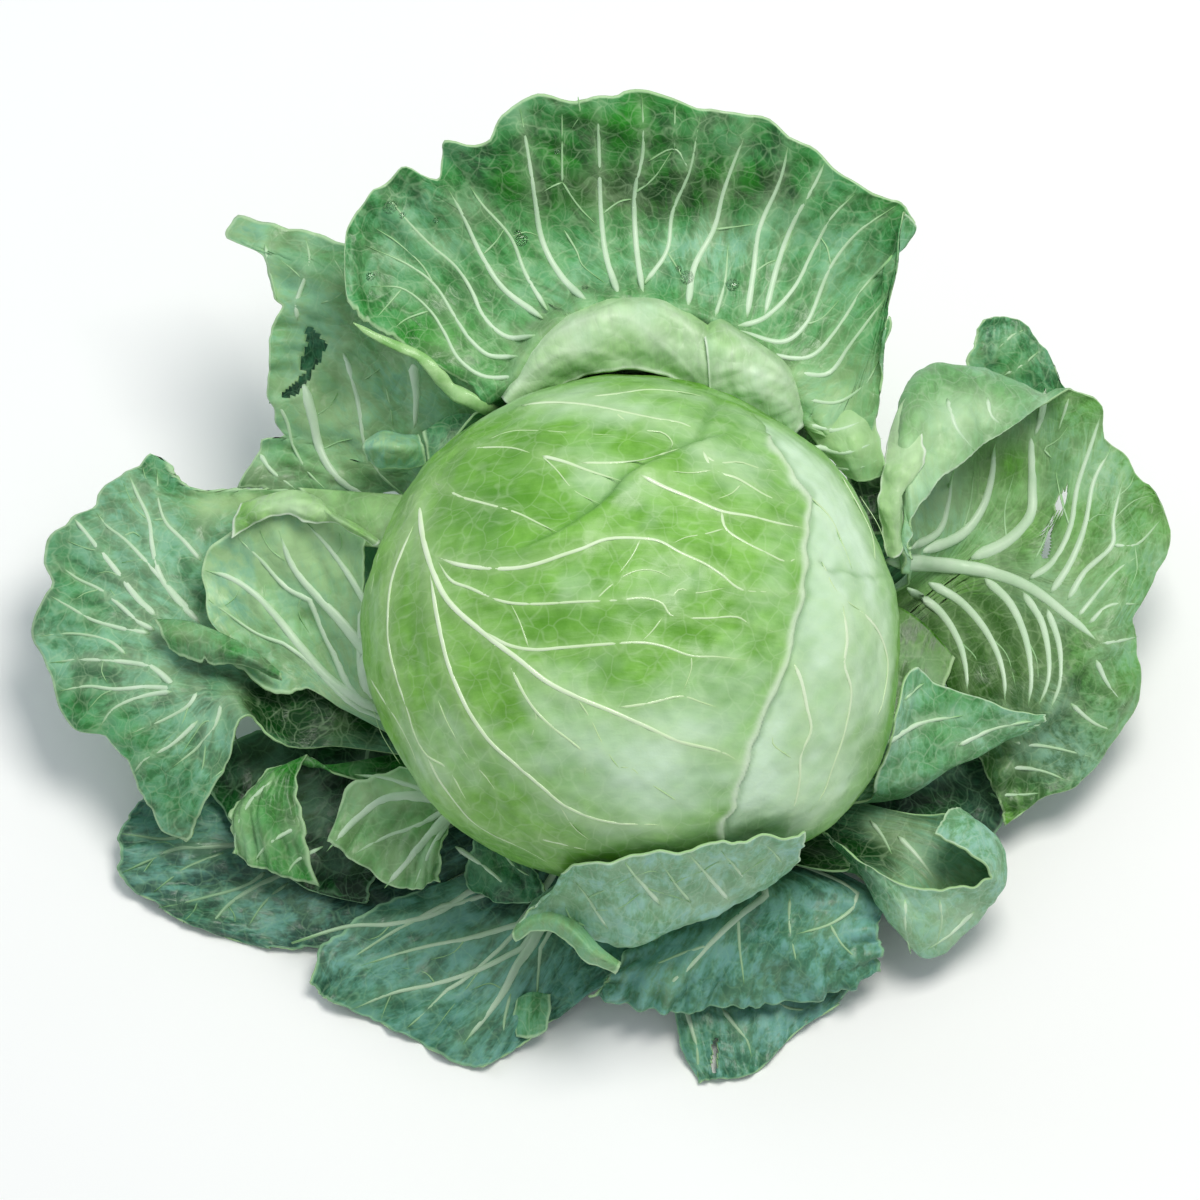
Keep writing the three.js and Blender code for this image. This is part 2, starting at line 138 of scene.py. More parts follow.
# The head: leaves wrapped tightly over each other into a dense ball, pale green, smooth and faintly waxy.
# It is one grown piece. Its ribs are set out in pixels of the photograph, 1200 by 1200, and laid on its
# surface.
HEAD_RADIUS = 100
HEAD_HALF_HEIGHT = 82
FULL_SIDE = np.array([0.8, -0.54, -0.26])
PICTURE_SCALE = 0.375
PICTURE_MIDDLE = 630
HEAD_FOLD = [(514, 555), (531, 548), (556, 537), (578, 524), (597, 511), (614, 495), (626, 480), (640, 473),
    (666, 461), (701, 443), (731, 437), (761, 427)]
HEAD_PLEAT = [(724, 394), (709, 414), (701, 433), (697, 447)]
HEAD_SEAM = [(772, 440), (786, 462), (798, 479), (810, 496), (810, 518), (806, 540), (805, 573), (800, 604),
    (794, 632), (786, 665), (773, 694), (759, 728), (748, 755), (740, 785), (735, 807), (725, 818),
    (720, 842)]
HEAD_SECOND_EDGE = [(815, 559), (830, 569), (853, 574), (873, 578), (890, 577)]
# Each rib has its half width in millimetres at its start, and its places.
HEAD_RIBS = [
    (
        1.5,
        [(420, 500), (423, 532), (432, 565), (449, 600), (489, 636), (520, 659), (548, 681), (580, 697),
            (612, 710), (648, 726), (676, 739), (722, 751), (744, 764)],
    ),
    (
        0.9,
        [(480, 628), (508, 644), (534, 649), (563, 647), (600, 644), (642, 642), (664, 646), (690, 655),
            (716, 656), (748, 660)],
    ),
    (
        0.8,
        [(440, 563), (453, 581), (471, 588), (496, 599), (512, 603), (539, 604), (574, 602), (620, 600),
            (642, 598), (661, 603), (670, 615), (703, 618), (736, 617), (750, 625), (783, 634)],
    ),
    (
        1.1,
        [(440, 558), (460, 565), (494, 569), (521, 568), (542, 563), (562, 556), (583, 549), (606, 540),
            (640, 539), (659, 542), (679, 553), (703, 564), (720, 575), (738, 589), (764, 592), (798, 594)],
    ),
    (1.1, [(640, 476), (661, 487), (690, 499), (720, 512), (749, 517), (777, 524), (805, 529)]),
    (0.8, [(720, 512), (724, 529), (742, 542), (764, 553), (786, 562), (803, 553)]),
    (0.9, [(701, 450), (712, 470), (735, 479), (746, 485), (764, 496), (781, 503)]),
    (0.7, [(705, 457), (716, 464), (738, 463), (761, 470), (779, 472)]),
    (1.0, [(542, 457), (565, 463), (589, 472), (621, 482)]),
    (0.8, [(581, 464), (610, 464), (642, 461), (666, 454), (681, 449)]),
    (0.8, [(437, 484), (460, 497), (481, 503), (503, 509), (521, 515), (539, 524), (558, 533)]),
    (0.7, [(465, 450), (492, 448), (514, 449), (531, 454)]),
    (1.1, [(521, 406), (547, 403), (583, 405), (615, 411), (653, 419), (681, 424), (700, 433)]),
    (0.6, [(610, 409), (637, 430), (663, 434), (672, 444), (670, 450)]),
    (0.8, [(592, 397), (620, 394), (648, 390), (685, 393), (707, 398)]),
    (
        1.0,
        [(414, 527), (401, 557), (392, 584), (389, 620), (391, 650), (401, 687), (409, 709), (416, 733),
            (428, 754), (449, 767), (462, 789), (471, 805)],
    ),
    (0.8, [(428, 754), (440, 778), (456, 800), (471, 818), (493, 833), (526, 848), (556, 866)]),
    (
        1.2,
        [(431, 566), (437, 607), (443, 637), (449, 661), (462, 694), (475, 718), (493, 742), (517, 763),
            (545, 787), (563, 802), (591, 815), (619, 821), (648, 822), (672, 823)],
    ),
    (0.8, [(512, 667), (523, 689), (536, 709), (556, 728), (573, 741), (584, 752), (585, 776)]),
    (0.7, [(619, 706), (648, 702), (681, 695), (700, 701), (716, 706)]),
    (0.7, [(371, 678), (382, 696), (397, 718), (412, 746), (421, 772)]),
    (0.7, [(541, 837), (563, 842), (587, 848)]),
    (
        1.1,
        [(841, 606), (845, 641), (842, 663), (849, 687), (848, 707), (840, 741), (831, 766), (822, 792),
            (805, 815)],
    ),
    (1.2, [(792, 663), (799, 680), (805, 707), (809, 729), (799, 753), (798, 778), (794, 800), (786, 818)]),
    (1.0, [(859, 611), (875, 628), (884, 648), (887, 667), (881, 704), (875, 718)]),
    (0.7, [(820, 562), (835, 592), (859, 611)]),
    (0.7, [(811, 499), (829, 518), (842, 546), (851, 570)]),
    (0.9, [(842, 477), (860, 509), (872, 536), (875, 575)]),
]
HEAD_VEINS = [
    [(596, 600), (608, 588), (628, 574), (644, 570), (657, 572), (672, 579)],
    [(670, 599), (679, 589), (694, 593), (709, 591), (724, 588)],
    [(724, 529), (703, 535), (685, 538), (672, 544)],
    [(712, 471), (690, 474), (668, 472)],
    [(740, 485), (731, 494), (716, 500)],
    [(489, 440), (512, 432), (547, 432), (583, 435), (614, 436)],
    [(536, 709), (537, 718), (532, 737)],
    [(578, 698), (591, 718), (600, 737), (612, 757), (619, 766)],
    [(620, 765), (631, 766), (642, 776), (666, 792), (681, 802)],
    [(440, 700), (449, 722), (460, 741), (471, 759)],
    [(475, 761), (493, 783), (499, 794)],
    [(772, 711), (771, 742), (783, 752), (790, 757)],
    [(661, 618), (652, 630), (641, 641)],
    [(690, 655), (690, 668), (682, 690)],
    [(640, 540), (632, 556), (618, 575)],
    [(560, 803), (575, 826), (590, 838)],
    [(380, 549), (374, 580), (368, 612)],
    [(405, 545), (395, 570)],
    [(530, 648), (520, 620), (512, 604)],
    [(860, 496), (879, 527), (888, 555)],
    [(542, 457), (556, 470), (575, 492), (600, 505)],
]


def on_view(path):
    """Millimetres across and up the camera's plane, from pixels of the photograph."""
    path = np.asarray(path, float)
    return np.stack([path[..., 0] - PICTURE_MIDDLE, PICTURE_MIDDLE - path[..., 1]], axis=-1) * PICTURE_SCALE


def to_view(points):
    """Across, up and towards the camera, from x, y and z."""
    x, y, z = points[..., 0], points[..., 1], points[..., 2] - HEAD_CENTRE_HEIGHT
    return np.stack([x, math.sin(SLOPE) * y + math.cos(SLOPE) * z,
                     math.sin(SLOPE) * z - math.cos(SLOPE) * y], axis=-1)


def from_view(points):
    x, up, near = points[..., 0], points[..., 1], points[..., 2]
    return np.stack([x, math.sin(SLOPE) * up - math.cos(SLOPE) * near,
                     math.cos(SLOPE) * up + math.sin(SLOPE) * near + HEAD_CENTRE_HEIGHT], axis=-1)


TOWARDS_CAMERA = np.array([0, -math.cos(SLOPE), math.sin(SLOPE)])


def through(points, count):
    """Points of a smooth curve through the given ones, along the first axis."""
    points = np.asarray(points, float)
    ends = np.concatenate([2 * points[:1] - points[1:2], points, 2 * points[-1:] - points[-2:-1]])
    where = np.linspace(0, len(points) - 1, count + 1)
    k = np.minimum(where.astype(int), len(points) - 2)
    t = (where - k).reshape(-1, *[1] * (points.ndim - 1))
    a, b, c, d = (ends[k + i] for i in range(4))
    ab, bc, cd = (np.maximum(np.linalg.norm(q - p, axis=-1, keepdims=True), 1e-6) ** 0.5
                  for p, q in ((a, b), (b, c), (c, d)))
    start = ((b - a) / ab - (c - a) / (ab + bc) + (c - b) / bc) * bc
    finish = ((c - b) / bc - (d - b) / (bc + cd) + (d - c) / cd) * bc
    return ((2 * t**3 - 3 * t**2 + 1) * b + (t**3 - 2 * t**2 + t) * start
            + (3 * t**2 - 2 * t**3) * c + (t**3 - t**2) * finish)


def to_line(line, spots, reach=25):
    """Signed distance of points on the camera's plane to a line there, positive on its left, and how far
    along the line the nearest place is. Points further off than the reach get the reach."""
    signed = np.full(len(spots), float(reach))
    along = np.zeros(len(spots))
    low, high = line.min(axis=0) - reach, line.max(axis=0) + reach
    near = np.nonzero(np.all((spots > low) & (spots < high), axis=1))[0]
    best = np.full(len(near), 1e9)
    x, u = spots[near].T
    count = len(line) - 1
    for k in range(count):
        (ax, au), (bx, bu) = line[k], line[k + 1]
        long = max((bx - ax) ** 2 + (bu - au) ** 2, 1e-9)
        t = np.clip(((x - ax) * (bx - ax) + (u - au) * (bu - au)) / long, 0, 1)
        gap = np.hypot(x - ax - t * (bx - ax), u - au - t * (bu - au))
        side = np.where((bx - ax) * (u - au) - (bu - au) * (x - ax) >= 0, 1.0, -1.0)
        closer = gap < best
        best = np.where(closer, gap, best)
        signed[near] = np.where(closer, gap * side, signed[near])
        along[near] = np.where(closer, (k + t) / count, along[near])
    return signed, along


def soft(value, low, high):
    """A smooth step from 0 at low to 1 at high."""
    t = np.clip((value - low) / (high - low), 0, 1)
    return t * t * (3 - 2 * t)


def wander(points, size, seed):
    """A smooth uneven value, mostly between -1 and 1, whose swells are about the given size in
    millimetres."""
    chance = np.random.default_rng(seed)
    total = np.zeros(len(points))
    for _ in range(9):
        way = chance.normal(size=3)
        way *= 2 * math.pi / (size * chance.uniform(0.8, 1.7) * np.linalg.norm(way))
        total += np.sin(points @ way + chance.uniform(0, 2 * math.pi))
    return total / 3.2


def keep(mesh, name, values):
    """Stores one number for each point of a mesh, for its material to read."""
    mesh.attributes.new(name, "FLOAT", "POINT").data.foreach_set("value", np.asarray(values, np.float32))


def drape(path, tree, surface, points_each=2.2):
    """Lays a path of the photograph on a surface: its places and the surface's normals there, as the camera
    sees them. Where the surface lies over itself, the path is on the nearer layer."""
    path = on_view(path)
    long = np.linalg.norm(np.diff(path, axis=0), axis=1).sum()
    spots = through(path, max(6, int(long / points_each)))
    near, slopes = [], []
    for x, u in spots:
        found = np.array([index for _, index, _ in tree.find_n((x, u, 0), 12)])
        around = surface[found]
        around = around[around[:, 2] > around[:, 2].max() - 5]
        sides = np.column_stack([np.ones(len(around)), around[:, 0] - x, around[:, 1] - u])
        level, across, up = np.linalg.lstsq(sides, around[:, 2], rcond=1e-3)[0]
        near.append(level if abs(level - around[:, 2].mean()) < 3 else around[:, 2].mean())
        slopes.append((-across, -up, 1))
    near, slopes = np.array(near), np.array(slopes)
    for _ in range(2):
        near[1:-1] = (near[:-2] + 2 * near[1:-1] + near[2:]) / 4
        slopes[1:-1] = (slopes[:-2] + 2 * slopes[1:-1] + slopes[2:]) / 4
    ahead = from_view(slopes) - from_view(np.zeros(3))
    return from_view(np.column_stack([spots, near])), ahead / np.linalg.norm(ahead, axis=1)[:, None]


def oval_tube(spots, normals, wide, tall, sides=8):
    """Points and faces of an oval tube along the spots, with half widths and half heights given for each
    spot."""
    ahead = np.gradient(spots, axis=0)
    across = np.cross(normals, ahead)
    across /= np.maximum(np.linalg.norm(across, axis=1), 1e-9)[:, None]
    turns = 2 * math.pi * np.arange(sides) / sides
    rings = (spots[:, None] + across[:, None] * (np.cos(turns) * wide[:, None])[..., None]
             + normals[:, None] * (np.sin(turns) * tall[:, None])[..., None])
    at = np.arange(len(spots) * sides).reshape(-1, sides)
    here, there = at[:-1], at[1:]
    faces = np.stack([here, np.roll(here, -1, axis=1), np.roll(there, -1, axis=1), there], axis=-1)
    faces = faces.reshape(-1, 4)
    caps = [tuple(at[0]), tuple(at[-1][::-1])]
    return rings.reshape(-1, 3), [tuple(face[::-1]) for face in faces] + caps


def add_ribs(piece, ribs, material, shade=0.0):
    """Joins oval ribs to a piece. Each rib is its places, normals, half widths and half heights, in
    millimetres."""
    points, faces, strength = [], [], []
    total = 0
    for spots, normals, wide, tall in ribs:
        ring_points, ring_faces = oval_tube(spots, normals, wide, tall)
        points.append(ring_points)
        faces += [tuple(total + k for k in face) for face in ring_faces]
        strength.append(np.repeat(wide, 8))
        total += len(ring_points)
    mesh = bpy.data.meshes.new("ribs")
    mesh.from_pydata(np.concatenate(points) / 1000, [], faces)
    keep(mesh, "strength", np.concatenate(strength))
    keep(mesh, "shade", np.full(total, shade))
    mesh.materials.append(material)
    ribs = bpy.data.objects.new("ribs", mesh)
    bpy.context.collection.objects.link(ribs)
    bpy.ops.object.select_all(action="DESELECT")
    ribs.select_set(True)
    bpy.context.view_layer.objects.active = ribs
    bpy.ops.object.mode_set(mode="EDIT")
    bpy.ops.mesh.select_all(action="SELECT")
    bpy.ops.mesh.normals_make_consistent(inside=False)
    bpy.ops.object.mode_set(mode="OBJECT")
    bpy.ops.object.shade_smooth()
    piece.select_set(True)
    bpy.context.view_layer.objects.active = piece
    bpy.ops.object.join()


bpy.ops.object.select_all(action="DESELECT")
bpy.ops.mesh.primitive_cube_add(size=2)
head = bpy.context.object
head.name = "head_leaves"
bpy.ops.object.mode_set(mode="EDIT")
bpy.ops.mesh.subdivide(number_cuts=100)
bpy.ops.object.mode_set(mode="OBJECT")

points = np.empty(len(head.data.vertices) * 3)
head.data.vertices.foreach_get("co", points)
points = np.tan(points.reshape(-1, 3) * math.pi / 4)
points /= np.linalg.norm(points, axis=1)[:, None]
# The ball's points are drawn together on the side that the photograph shows.
seen_from = to_view(points + np.array([0, 0, HEAD_CENTRE_HEIGHT]))
angle = np.arccos(np.clip(seen_from[:, 2], -1, 1))
drawn = angle - 0.30 * np.sin(angle)
ring = np.maximum(np.hypot(seen_from[:, 0], seen_from[:, 1]), 1e-9)
drawn = np.stack([seen_from[:, 0] / ring * np.sin(drawn), seen_from[:, 1] / ring * np.sin(drawn),
    np.cos(drawn)], axis=1)
ways = from_view(drawn) - np.array([0, 0, HEAD_CENTRE_HEIGHT])
side = np.where(drawn[:, 2] > 0, 1, -1)
spots = np.stack([HEAD_RADIUS * ways[:, 0] * side,
                  (HEAD_RADIUS * math.sin(SLOPE) * ways[:, 1]
                   + HEAD_HALF_HEIGHT * math.cos(SLOPE) * ways[:, 2]) * side],
                 axis=1)
seen = soft(np.abs(drawn[:, 2]), 0, 0.35)
ball = ways * HEAD_RADIUS
jagged = spots + 0.5 * np.stack([wander(ball, 9, 5), wander(ball, 9, 6)], axis=1)

seam, _ = to_line(on_view(HEAD_SEAM), jagged, 200)
step = soft(seam, -0.5, 0.6)
second, second_along = to_line(on_view(HEAD_SECOND_EDGE), jagged, 40)
second_step = soft(second, -0.6, 0.6) * soft(second, 30, 10) * soft(second_along, 0, 0.15) * step
fold, fold_along = to_line(on_view(HEAD_FOLD), spots, 60)
fold_share = soft(fold_along, 0, 0.15) * soft(fold_along, 1, 0.7)
above_fold = soft(fold, -0.3, 2.2) * np.exp(-np.maximum(fold, 0) / 16) * fold_share
pleat, pleat_along = to_line(on_view(HEAD_PLEAT), spots, 30)
pleat_groove = np.exp(-(pleat / 1.6) ** 2) * soft(pleat_along, 1, 0.85)
tent = np.zeros(len(spots))
glow = np.zeros(len(spots))
for width, path in HEAD_RIBS + [(0.45, vein) for vein in HEAD_VEINS]:
    gap, along = to_line(through(on_view(path), 3 * len(path)), spots)
    reach = width * (1.1 - 0.5 * along)
    tent = np.maximum(tent, reach * np.exp(-np.abs(gap) / 7))
    glow = np.maximum(glow, np.minimum(reach, 1) * np.exp(-(np.abs(gap) / (3.2 * reach))))
fullness = 8 * np.exp((ways @ (FULL_SIDE / np.linalg.norm(FULL_SIDE)) - 1) / 0.07)
lip = np.exp(-((seam + 1.3) / 1.3) ** 2) * seen
relief = fullness + seen * (2.2 * np.exp(-((fold + 1.5) / 5) ** 2) * fold_share - 4.2 * above_fold
                            - 1.7 * step
                            - 0.9 * second_step - 1.8 * pleat_groove + 1.1 * tent + 0.45 * lip)
relief += 0.35 * wander(ball, 15, 2) + 0.7 * wander(ball, 42, 3)
relief += 0.12 * wander(ball, 5, 4)
size = np.array([HEAD_RADIUS, HEAD_RADIUS, HEAD_HALF_HEIGHT])
points = ways * (size + relief[:, None]) + np.array([0, 0, HEAD_CENTRE_HEIGHT])
head.data.vertices.foreach_set("co", (points / 1000).ravel())
head.data.update()


def airbrush(spots, patches):
    """Soft oval patches of paint, each a place in the photograph, its half sizes in pixels and its
    strength."""
    total = np.zeros(len(spots))
    for px, py, wide, tall, strength in patches:
        x, u = on_view((px, py))
        across = (spots[:, 0] - x) / (wide * PICTURE_SCALE)
        share = across ** 2 + ((spots[:, 1] - u) / (tall * PICTURE_SCALE)) ** 2
        total += strength * np.exp(-share)
    return total


# Pale patches on the head: paler young tissue, and at the lower left painted light, which lifts a part that
# the lamp leaves in shade.
HEAD_PALE_TONE_AND_LIGHT = [(640, 770, 110, 70, 0.9), (700, 720, 60, 60, 0.4), (600, 405, 150, 30, 0.55),
    (730, 470, 60, 35, 0.5), (560, 700, 45, 60, 0.35), (640, 590, 60, 25, 0.25), (760, 600, 60, 90, 0.3),
    (430, 520, 14, 60, 0.2), (375, 640, 14, 110, 0.25), (430, 760, 50, 60, 0.4), (600, 480, 40, 30, 0.35),
    (850, 520, 60, 90, 0.3)]
# Deep patches: darker green tissue, and painted shade in the dent at the top left, along the bottom of the
# head and where it meets the leaves at the lower right.
HEAD_DEEP_TONE_AND_SHADE = [(490, 505, 55, 32, 1.0), (480, 560, 50, 14, 0.5), (660, 620, 45, 35, 0.5),
    (560, 620, 60, 22, 0.5), (430, 600, 36, 60, 0.45), (600, 850, 110, 20, 0.6), (560, 560, 40, 12, 0.3),
    (520, 450, 60, 22, 0.45), (780, 830, 60, 16, 0.8), (870, 760, 25, 60, 0.5)]
pale = airbrush(spots, HEAD_PALE_TONE_AND_LIGHT) - 0.12 + 0.75 * step * seen + 0.12 * wander(ball, 24,
    8) + 0.08 * wander(ball, 8, 9)
deep = airbrush(spots, HEAD_DEEP_TONE_AND_SHADE) + 0.15 * wander(ball, 30, 10) + 0.08 * wander(ball, 7, 11)
# Painted shade in the creases: at the foot of the seam and of the second leaf edge, in the sunken side of
# the fold, and in the pleat.
crease_shade = np.exp(-((seam - 1.0) / 1.3) ** 2) * 0.55 + np.exp(-((fold - 1.5) / 2.0) ** 2) * fold_share * 0.8
crease_shade += 0.5 * pleat_groove + np.exp(-((second - 0.8) / 1.2) ** 2) * soft(second_along, 0,
    0.1) * step * 0.4
for name, values in (("pale", pale), ("deep", deep), ("glow", glow * seen), ("lip", lip),
    ("crease_shade", crease_shade * seen)):
    keep(head.data, name, np.clip(values, 0, 1))

# Head leaf: smooth young leaf tissue. Pale green flesh, a soft light halo beside each rib, a faint net of
# small veins, and a wet shine.
head_leaf, tree = new_material("pale_head_leaf")
place = put(tree, "TexCoord").outputs["Object"]
mottle = put(tree, "TexNoise", {"Vector": place, "Scale": 80.0, "Detail": 4.0, "Roughness": 0.65})
streak_place = put(tree, "Mapping", {"Vector": place, "Rotation": (0.3, 0.5, 0.25),
    "Scale": (60, 330, 120)})
streak = put(tree, "TexNoise", {"Vector": streak_place, "Scale": 1.0, "Detail": 4.0, "Roughness": 0.6})
bend = put(tree, "TexNoise", {"Vector": place, "Scale": 70.0, "Detail": 1.0})
bent = put(tree, "MixRGB", {"Fac": 0.014, "Color1": place, "Color2": bend.outputs["Color"]})
cells = put(tree, "TexVoronoi", {"Vector": bent, "Scale": 120.0}, feature="DISTANCE_TO_EDGE")
fine = put(tree, "MapRange", {"Value": cells, "From Min": 0.0, "From Max": 0.07, "To Min": 1.0,
    "To Max": 0.0},
           interpolation_type="SMOOTHSTEP")
read = {name: put(tree, "Attribute", attribute_name=name).outputs["Fac"]
        for name in ("pale", "deep", "glow", "lip", "crease_shade")}
mottled = put(tree, "MapRange", {"Value": mottle, "From Min": 0.34, "From Max": 0.66})
colour = blend(tree, mottled, "#5f9c2c", "#7fbc4c")
# The pale paint lifts the colour: paler tissue, and painted light at the lower left.
colour = blend(tree, read["pale"], colour, "#d0ecce")
# The deep paint darkens the colour: darker tissue, and painted shade at the bottom, in the dent and beside
# the leaves.
deep_by = put(tree, "Math", {0: read["deep"], 1: 0.92}, operation="MULTIPLY")
colour = blend(tree, deep_by, colour, "#478719")
streak_by = put(tree, "MapRange", {"Value": streak, "From Min": 0.48, "From Max": 0.78, "To Max": 0.22})
colour = blend(tree, streak_by, colour, "#c4e4ae")
fine_by = put(tree, "Math", {0: fine, 1: 0.14}, operation="MULTIPLY")
colour = blend(tree, fine_by, colour, "#cde8ba")
glow_by = put(tree, "Math", {0: read["glow"], 1: 0.38}, operation="MULTIPLY")
colour = blend(tree, glow_by, colour, "#c5e3a8")
# The creases take a darker green: painted shade.
crease_shade_by = put(tree, "Math", {0: read["crease_shade"], 1: 0.75}, operation="MULTIPLY")
colour = blend(tree, crease_shade_by, colour, "#4f8a35")
lip_by = put(tree, "Math", {0: read["lip"], 1: 0.65}, operation="MULTIPLY")
colour = blend(tree, lip_by, colour, "#e6f4dd")
rough = put(tree, "MapRange", {"Value": mottle, "From Min": 0.3, "From Max": 0.7, "To Min": 0.3,
    "To Max": 0.5})
height = put(tree, "Math", {0: mottle, 1: 0.9}, operation="MULTIPLY")
height = put(tree, "Math", {0: streak, 1: 0.5, 2: height}, operation="MULTIPLY_ADD")
bump = put(tree, "Bump", {"Height": height, "Strength": 0.5, "Distance": 0.0009})
finish_material(tree, {
    "Base Color": colour, "Roughness": rough, "IOR": 1.36, "Coat Weight": 0.12, "Coat Roughness": 0.2,
    "Normal": bump})
head.data.materials.append(head_leaf)

# Rib of a head leaf: crisp, pale and moist.
head_rib, tree = new_material("pale_head_rib")
place = put(tree, "TexCoord").outputs["Object"]
mottle = put(tree, "TexNoise", {"Vector": place, "Scale": 120.0, "Detail": 4.0})
strength = put(tree, "Attribute", attribute_name="strength").outputs["Fac"]
rib_by = put(tree, "MapRange", {"Value": strength, "From Min": 0.0, "From Max": 0.9, "To Min": 0.1,
    "To Max": 1.0})
colour = blend(tree, rib_by, "#a9d284", blend(tree, mottle, "#cfe9b6", "#eaf6dd"))
finish_material(tree, {"Base Color": colour, "Roughness": 0.32, "IOR": 1.42, "Coat Weight": 0.3})
bpy.ops.object.shade_smooth()

front = np.nonzero(drawn[:, 2] > 0.02)[0]
surface = to_view(points[front])
finder = KDTree(len(front))
for k, (x, u, _) in enumerate(surface):
    finder.insert((x, u, 0), k)
finder.balance()
ribs = []
for width, path in HEAD_RIBS + [(0.42, vein) for vein in HEAD_VEINS]:
    places, normals = drape(path, finder, surface)
    along = np.linspace(0, 1, len(places))
    wide = width * (1 - 0.55 * along) * soft(along, -0.03, 0.08) * soft(along, 1.02, 0.85) * 0.85
    ribs.append((places, normals, wide + 0.02, 0.42 * wide + 0.02))
    behind = np.array([0, 0, 2 * HEAD_CENTRE_HEIGHT]) - places
    outward = (places - [0, 0, HEAD_CENTRE_HEIGHT]) / size
    behind_gap = 8 * np.exp((outward @ FULL_SIDE / np.linalg.norm(FULL_SIDE) - 1)
                            / 0.07)
    ribs.append((behind + normals * behind_gap[:, None], -normals, wide + 0.02, 0.42 * wide + 0.02))
add_ribs(head, ribs, head_rib)
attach(head, "root")
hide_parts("head")


# The stem: a pale woody stump, cut across flat with a knife, under the head. It is seen only from below.
stump, tree = new_material("cut_stem")
place = put(tree, "TexCoord").outputs["Object"]
grain = put(tree, "TexNoise", {"Vector": place, "Scale": 260.0, "Detail": 5.0})
bump = put(tree, "Bump", {"Height": grain, "Strength": 0.5, "Distance": 0.0005})
finish_material(tree, {"Base Color": blend(tree, grain, "#a9bd7c", "#dbe3b8"), "Roughness": 0.62,
    "IOR": 1.42,
                       "Normal": bump})
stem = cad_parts["stem"]
stem.data.materials.clear()
stem.data.materials.append(stump)


# The loose leaves: waxy blades that grow out from the stem, each with pale ribs that stand out on both its
# faces. Each blade is shaped by rails that run out from the stem, and its ribs are laid on it from the
# photograph.
LEAF_THICKNESS = 0.9
ROOT_RADIUS = 23
UNDER_RADIUS = 62
NET_CELLS = 120


def leaf_material(name, green, dark, wax, pale, rib, shine, ribs_share):
    """Leaf skin: mottled green flesh under a thin cool wax, with a fine net of light veins."""
    material, tree = new_material(name)
    place = put(tree, "TexCoord").outputs["Object"]
    rows = put(tree, "UVMap", uv_map="rows").outputs[0]
    read = {label: put(tree, "Attribute", attribute_name=label).outputs["Fac"]
            for label in ("dark", "wax", "pale", "glow", "edge")}

    def fade(value, low, high, start=0.0, end=1.0):
        return put(tree, "MapRange", {"Value": value, "From Min": low, "From Max": high, "To Min": start,
            "To Max": end},
                   interpolation_type="SMOOTHSTEP").outputs[0]

    def math_node(operation, *values, clamp=False):
        return put(tree, "Math", dict(enumerate(values)), operation=operation, use_clamp=clamp).outputs[0]

    bend = put(tree, "TexNoise", {"Vector": place, "Scale": 85.0, "Detail": 1.0})
    bent = put(tree, "MixRGB", {"Fac": 0.012, "Color1": place, "Color2": bend.outputs["Color"]})
    cells = put(tree, "TexVoronoi", {"Vector": bent, "Scale": 118.0}, feature="DISTANCE_TO_EDGE")
    net = fade(cells, 0.0, 0.065, 1.0, 0.0)
    small = put(tree, "TexVoronoi", {"Vector": bent, "Scale": 330.0}, feature="DISTANCE_TO_EDGE")
    small_net = fade(small, 0.0, 0.13, 1.0, 0.0)
    cell_tone = put(tree, "TexVoronoi", {"Vector": bent, "Scale": 118.0}, feature="F1")
    along_place = put(tree, "Mapping", {"Vector": rows, "Scale": (230, 75, 1)})
    along = put(tree, "TexNoise", {"Vector": along_place, "Scale": 1.0, "Detail": 3.0, "Roughness": 0.68})
    mottle = put(tree, "TexNoise", {"Vector": place, "Scale": 55.0, "Detail": 4.0, "Roughness": 0.68})
    mixed = math_node("MULTIPLY_ADD", along, 0.5, math_node("MULTIPLY", mottle, 0.5))

    # The dark paint gives darker green flesh, and on some leaves painted shade in gaps, hollows and under
    # folds. The pale paint gives paler tissue, and on some leaves painted light.
    dark_by = math_node("ADD", fade(mixed, 0.56, 0.40), math_node("MULTIPLY", read["dark"], 1.5))
    dark_by = math_node("SUBTRACT", math_node("MULTIPLY", dark_by, 0.62), 0.06, clamp=True)
    colour = blend(tree, dark_by, green, dark)
    colour = blend(tree, math_node("MULTIPLY", read["pale"], 0.9), colour, pale)
    wax_patch = fade(mixed, 0.42, 0.60, 0.25, 1.0)
    wax_by = math_node("MULTIPLY", math_node("MULTIPLY", read["wax"], wax_patch), 0.95)
    colour = blend(tree, wax_by, colour, wax)
    in_cell = math_node("MULTIPLY", fade(cell_tone, 0.1, 0.6), 0.16)
    colour = blend(tree, in_cell, colour, dark)
    net_share = math_node("MULTIPLY", math_node("SUBTRACT", 1.0, math_node("MULTIPLY", read["pale"], 0.6)),
        ribs_share)
    colour = blend(tree, math_node("MULTIPLY", net, math_node("MULTIPLY", net_share, 0.17)), colour, rib)
    colour = blend(tree, math_node("MULTIPLY", small_net, math_node("MULTIPLY", net_share, 0.08)), colour,
        rib)
    colour = blend(tree, math_node("MULTIPLY", read["glow"], 0.32), colour, rib)
    colour = blend(tree, fade(read["edge"], 0.4, 1.5, 0.65, 0.0), colour, rib)

    height = math_node("MULTIPLY", cell_tone, -1.0)
    height = math_node("MULTIPLY_ADD", mixed, 1.3, height)
    bump = put(tree, "Bump", {"Height": height, "Strength": 0.6, "Distance": 0.0011})
    colour = put(tree, "HueSaturation", {"Saturation": 1.13, "Color": colour})
    rough = fade(mixed, 0.35, 0.65, shine, shine + 0.22)
    finish_material(tree, {
        "Base Color": colour, "Roughness": rough, "IOR": 1.38, "Normal": bump})
    return material


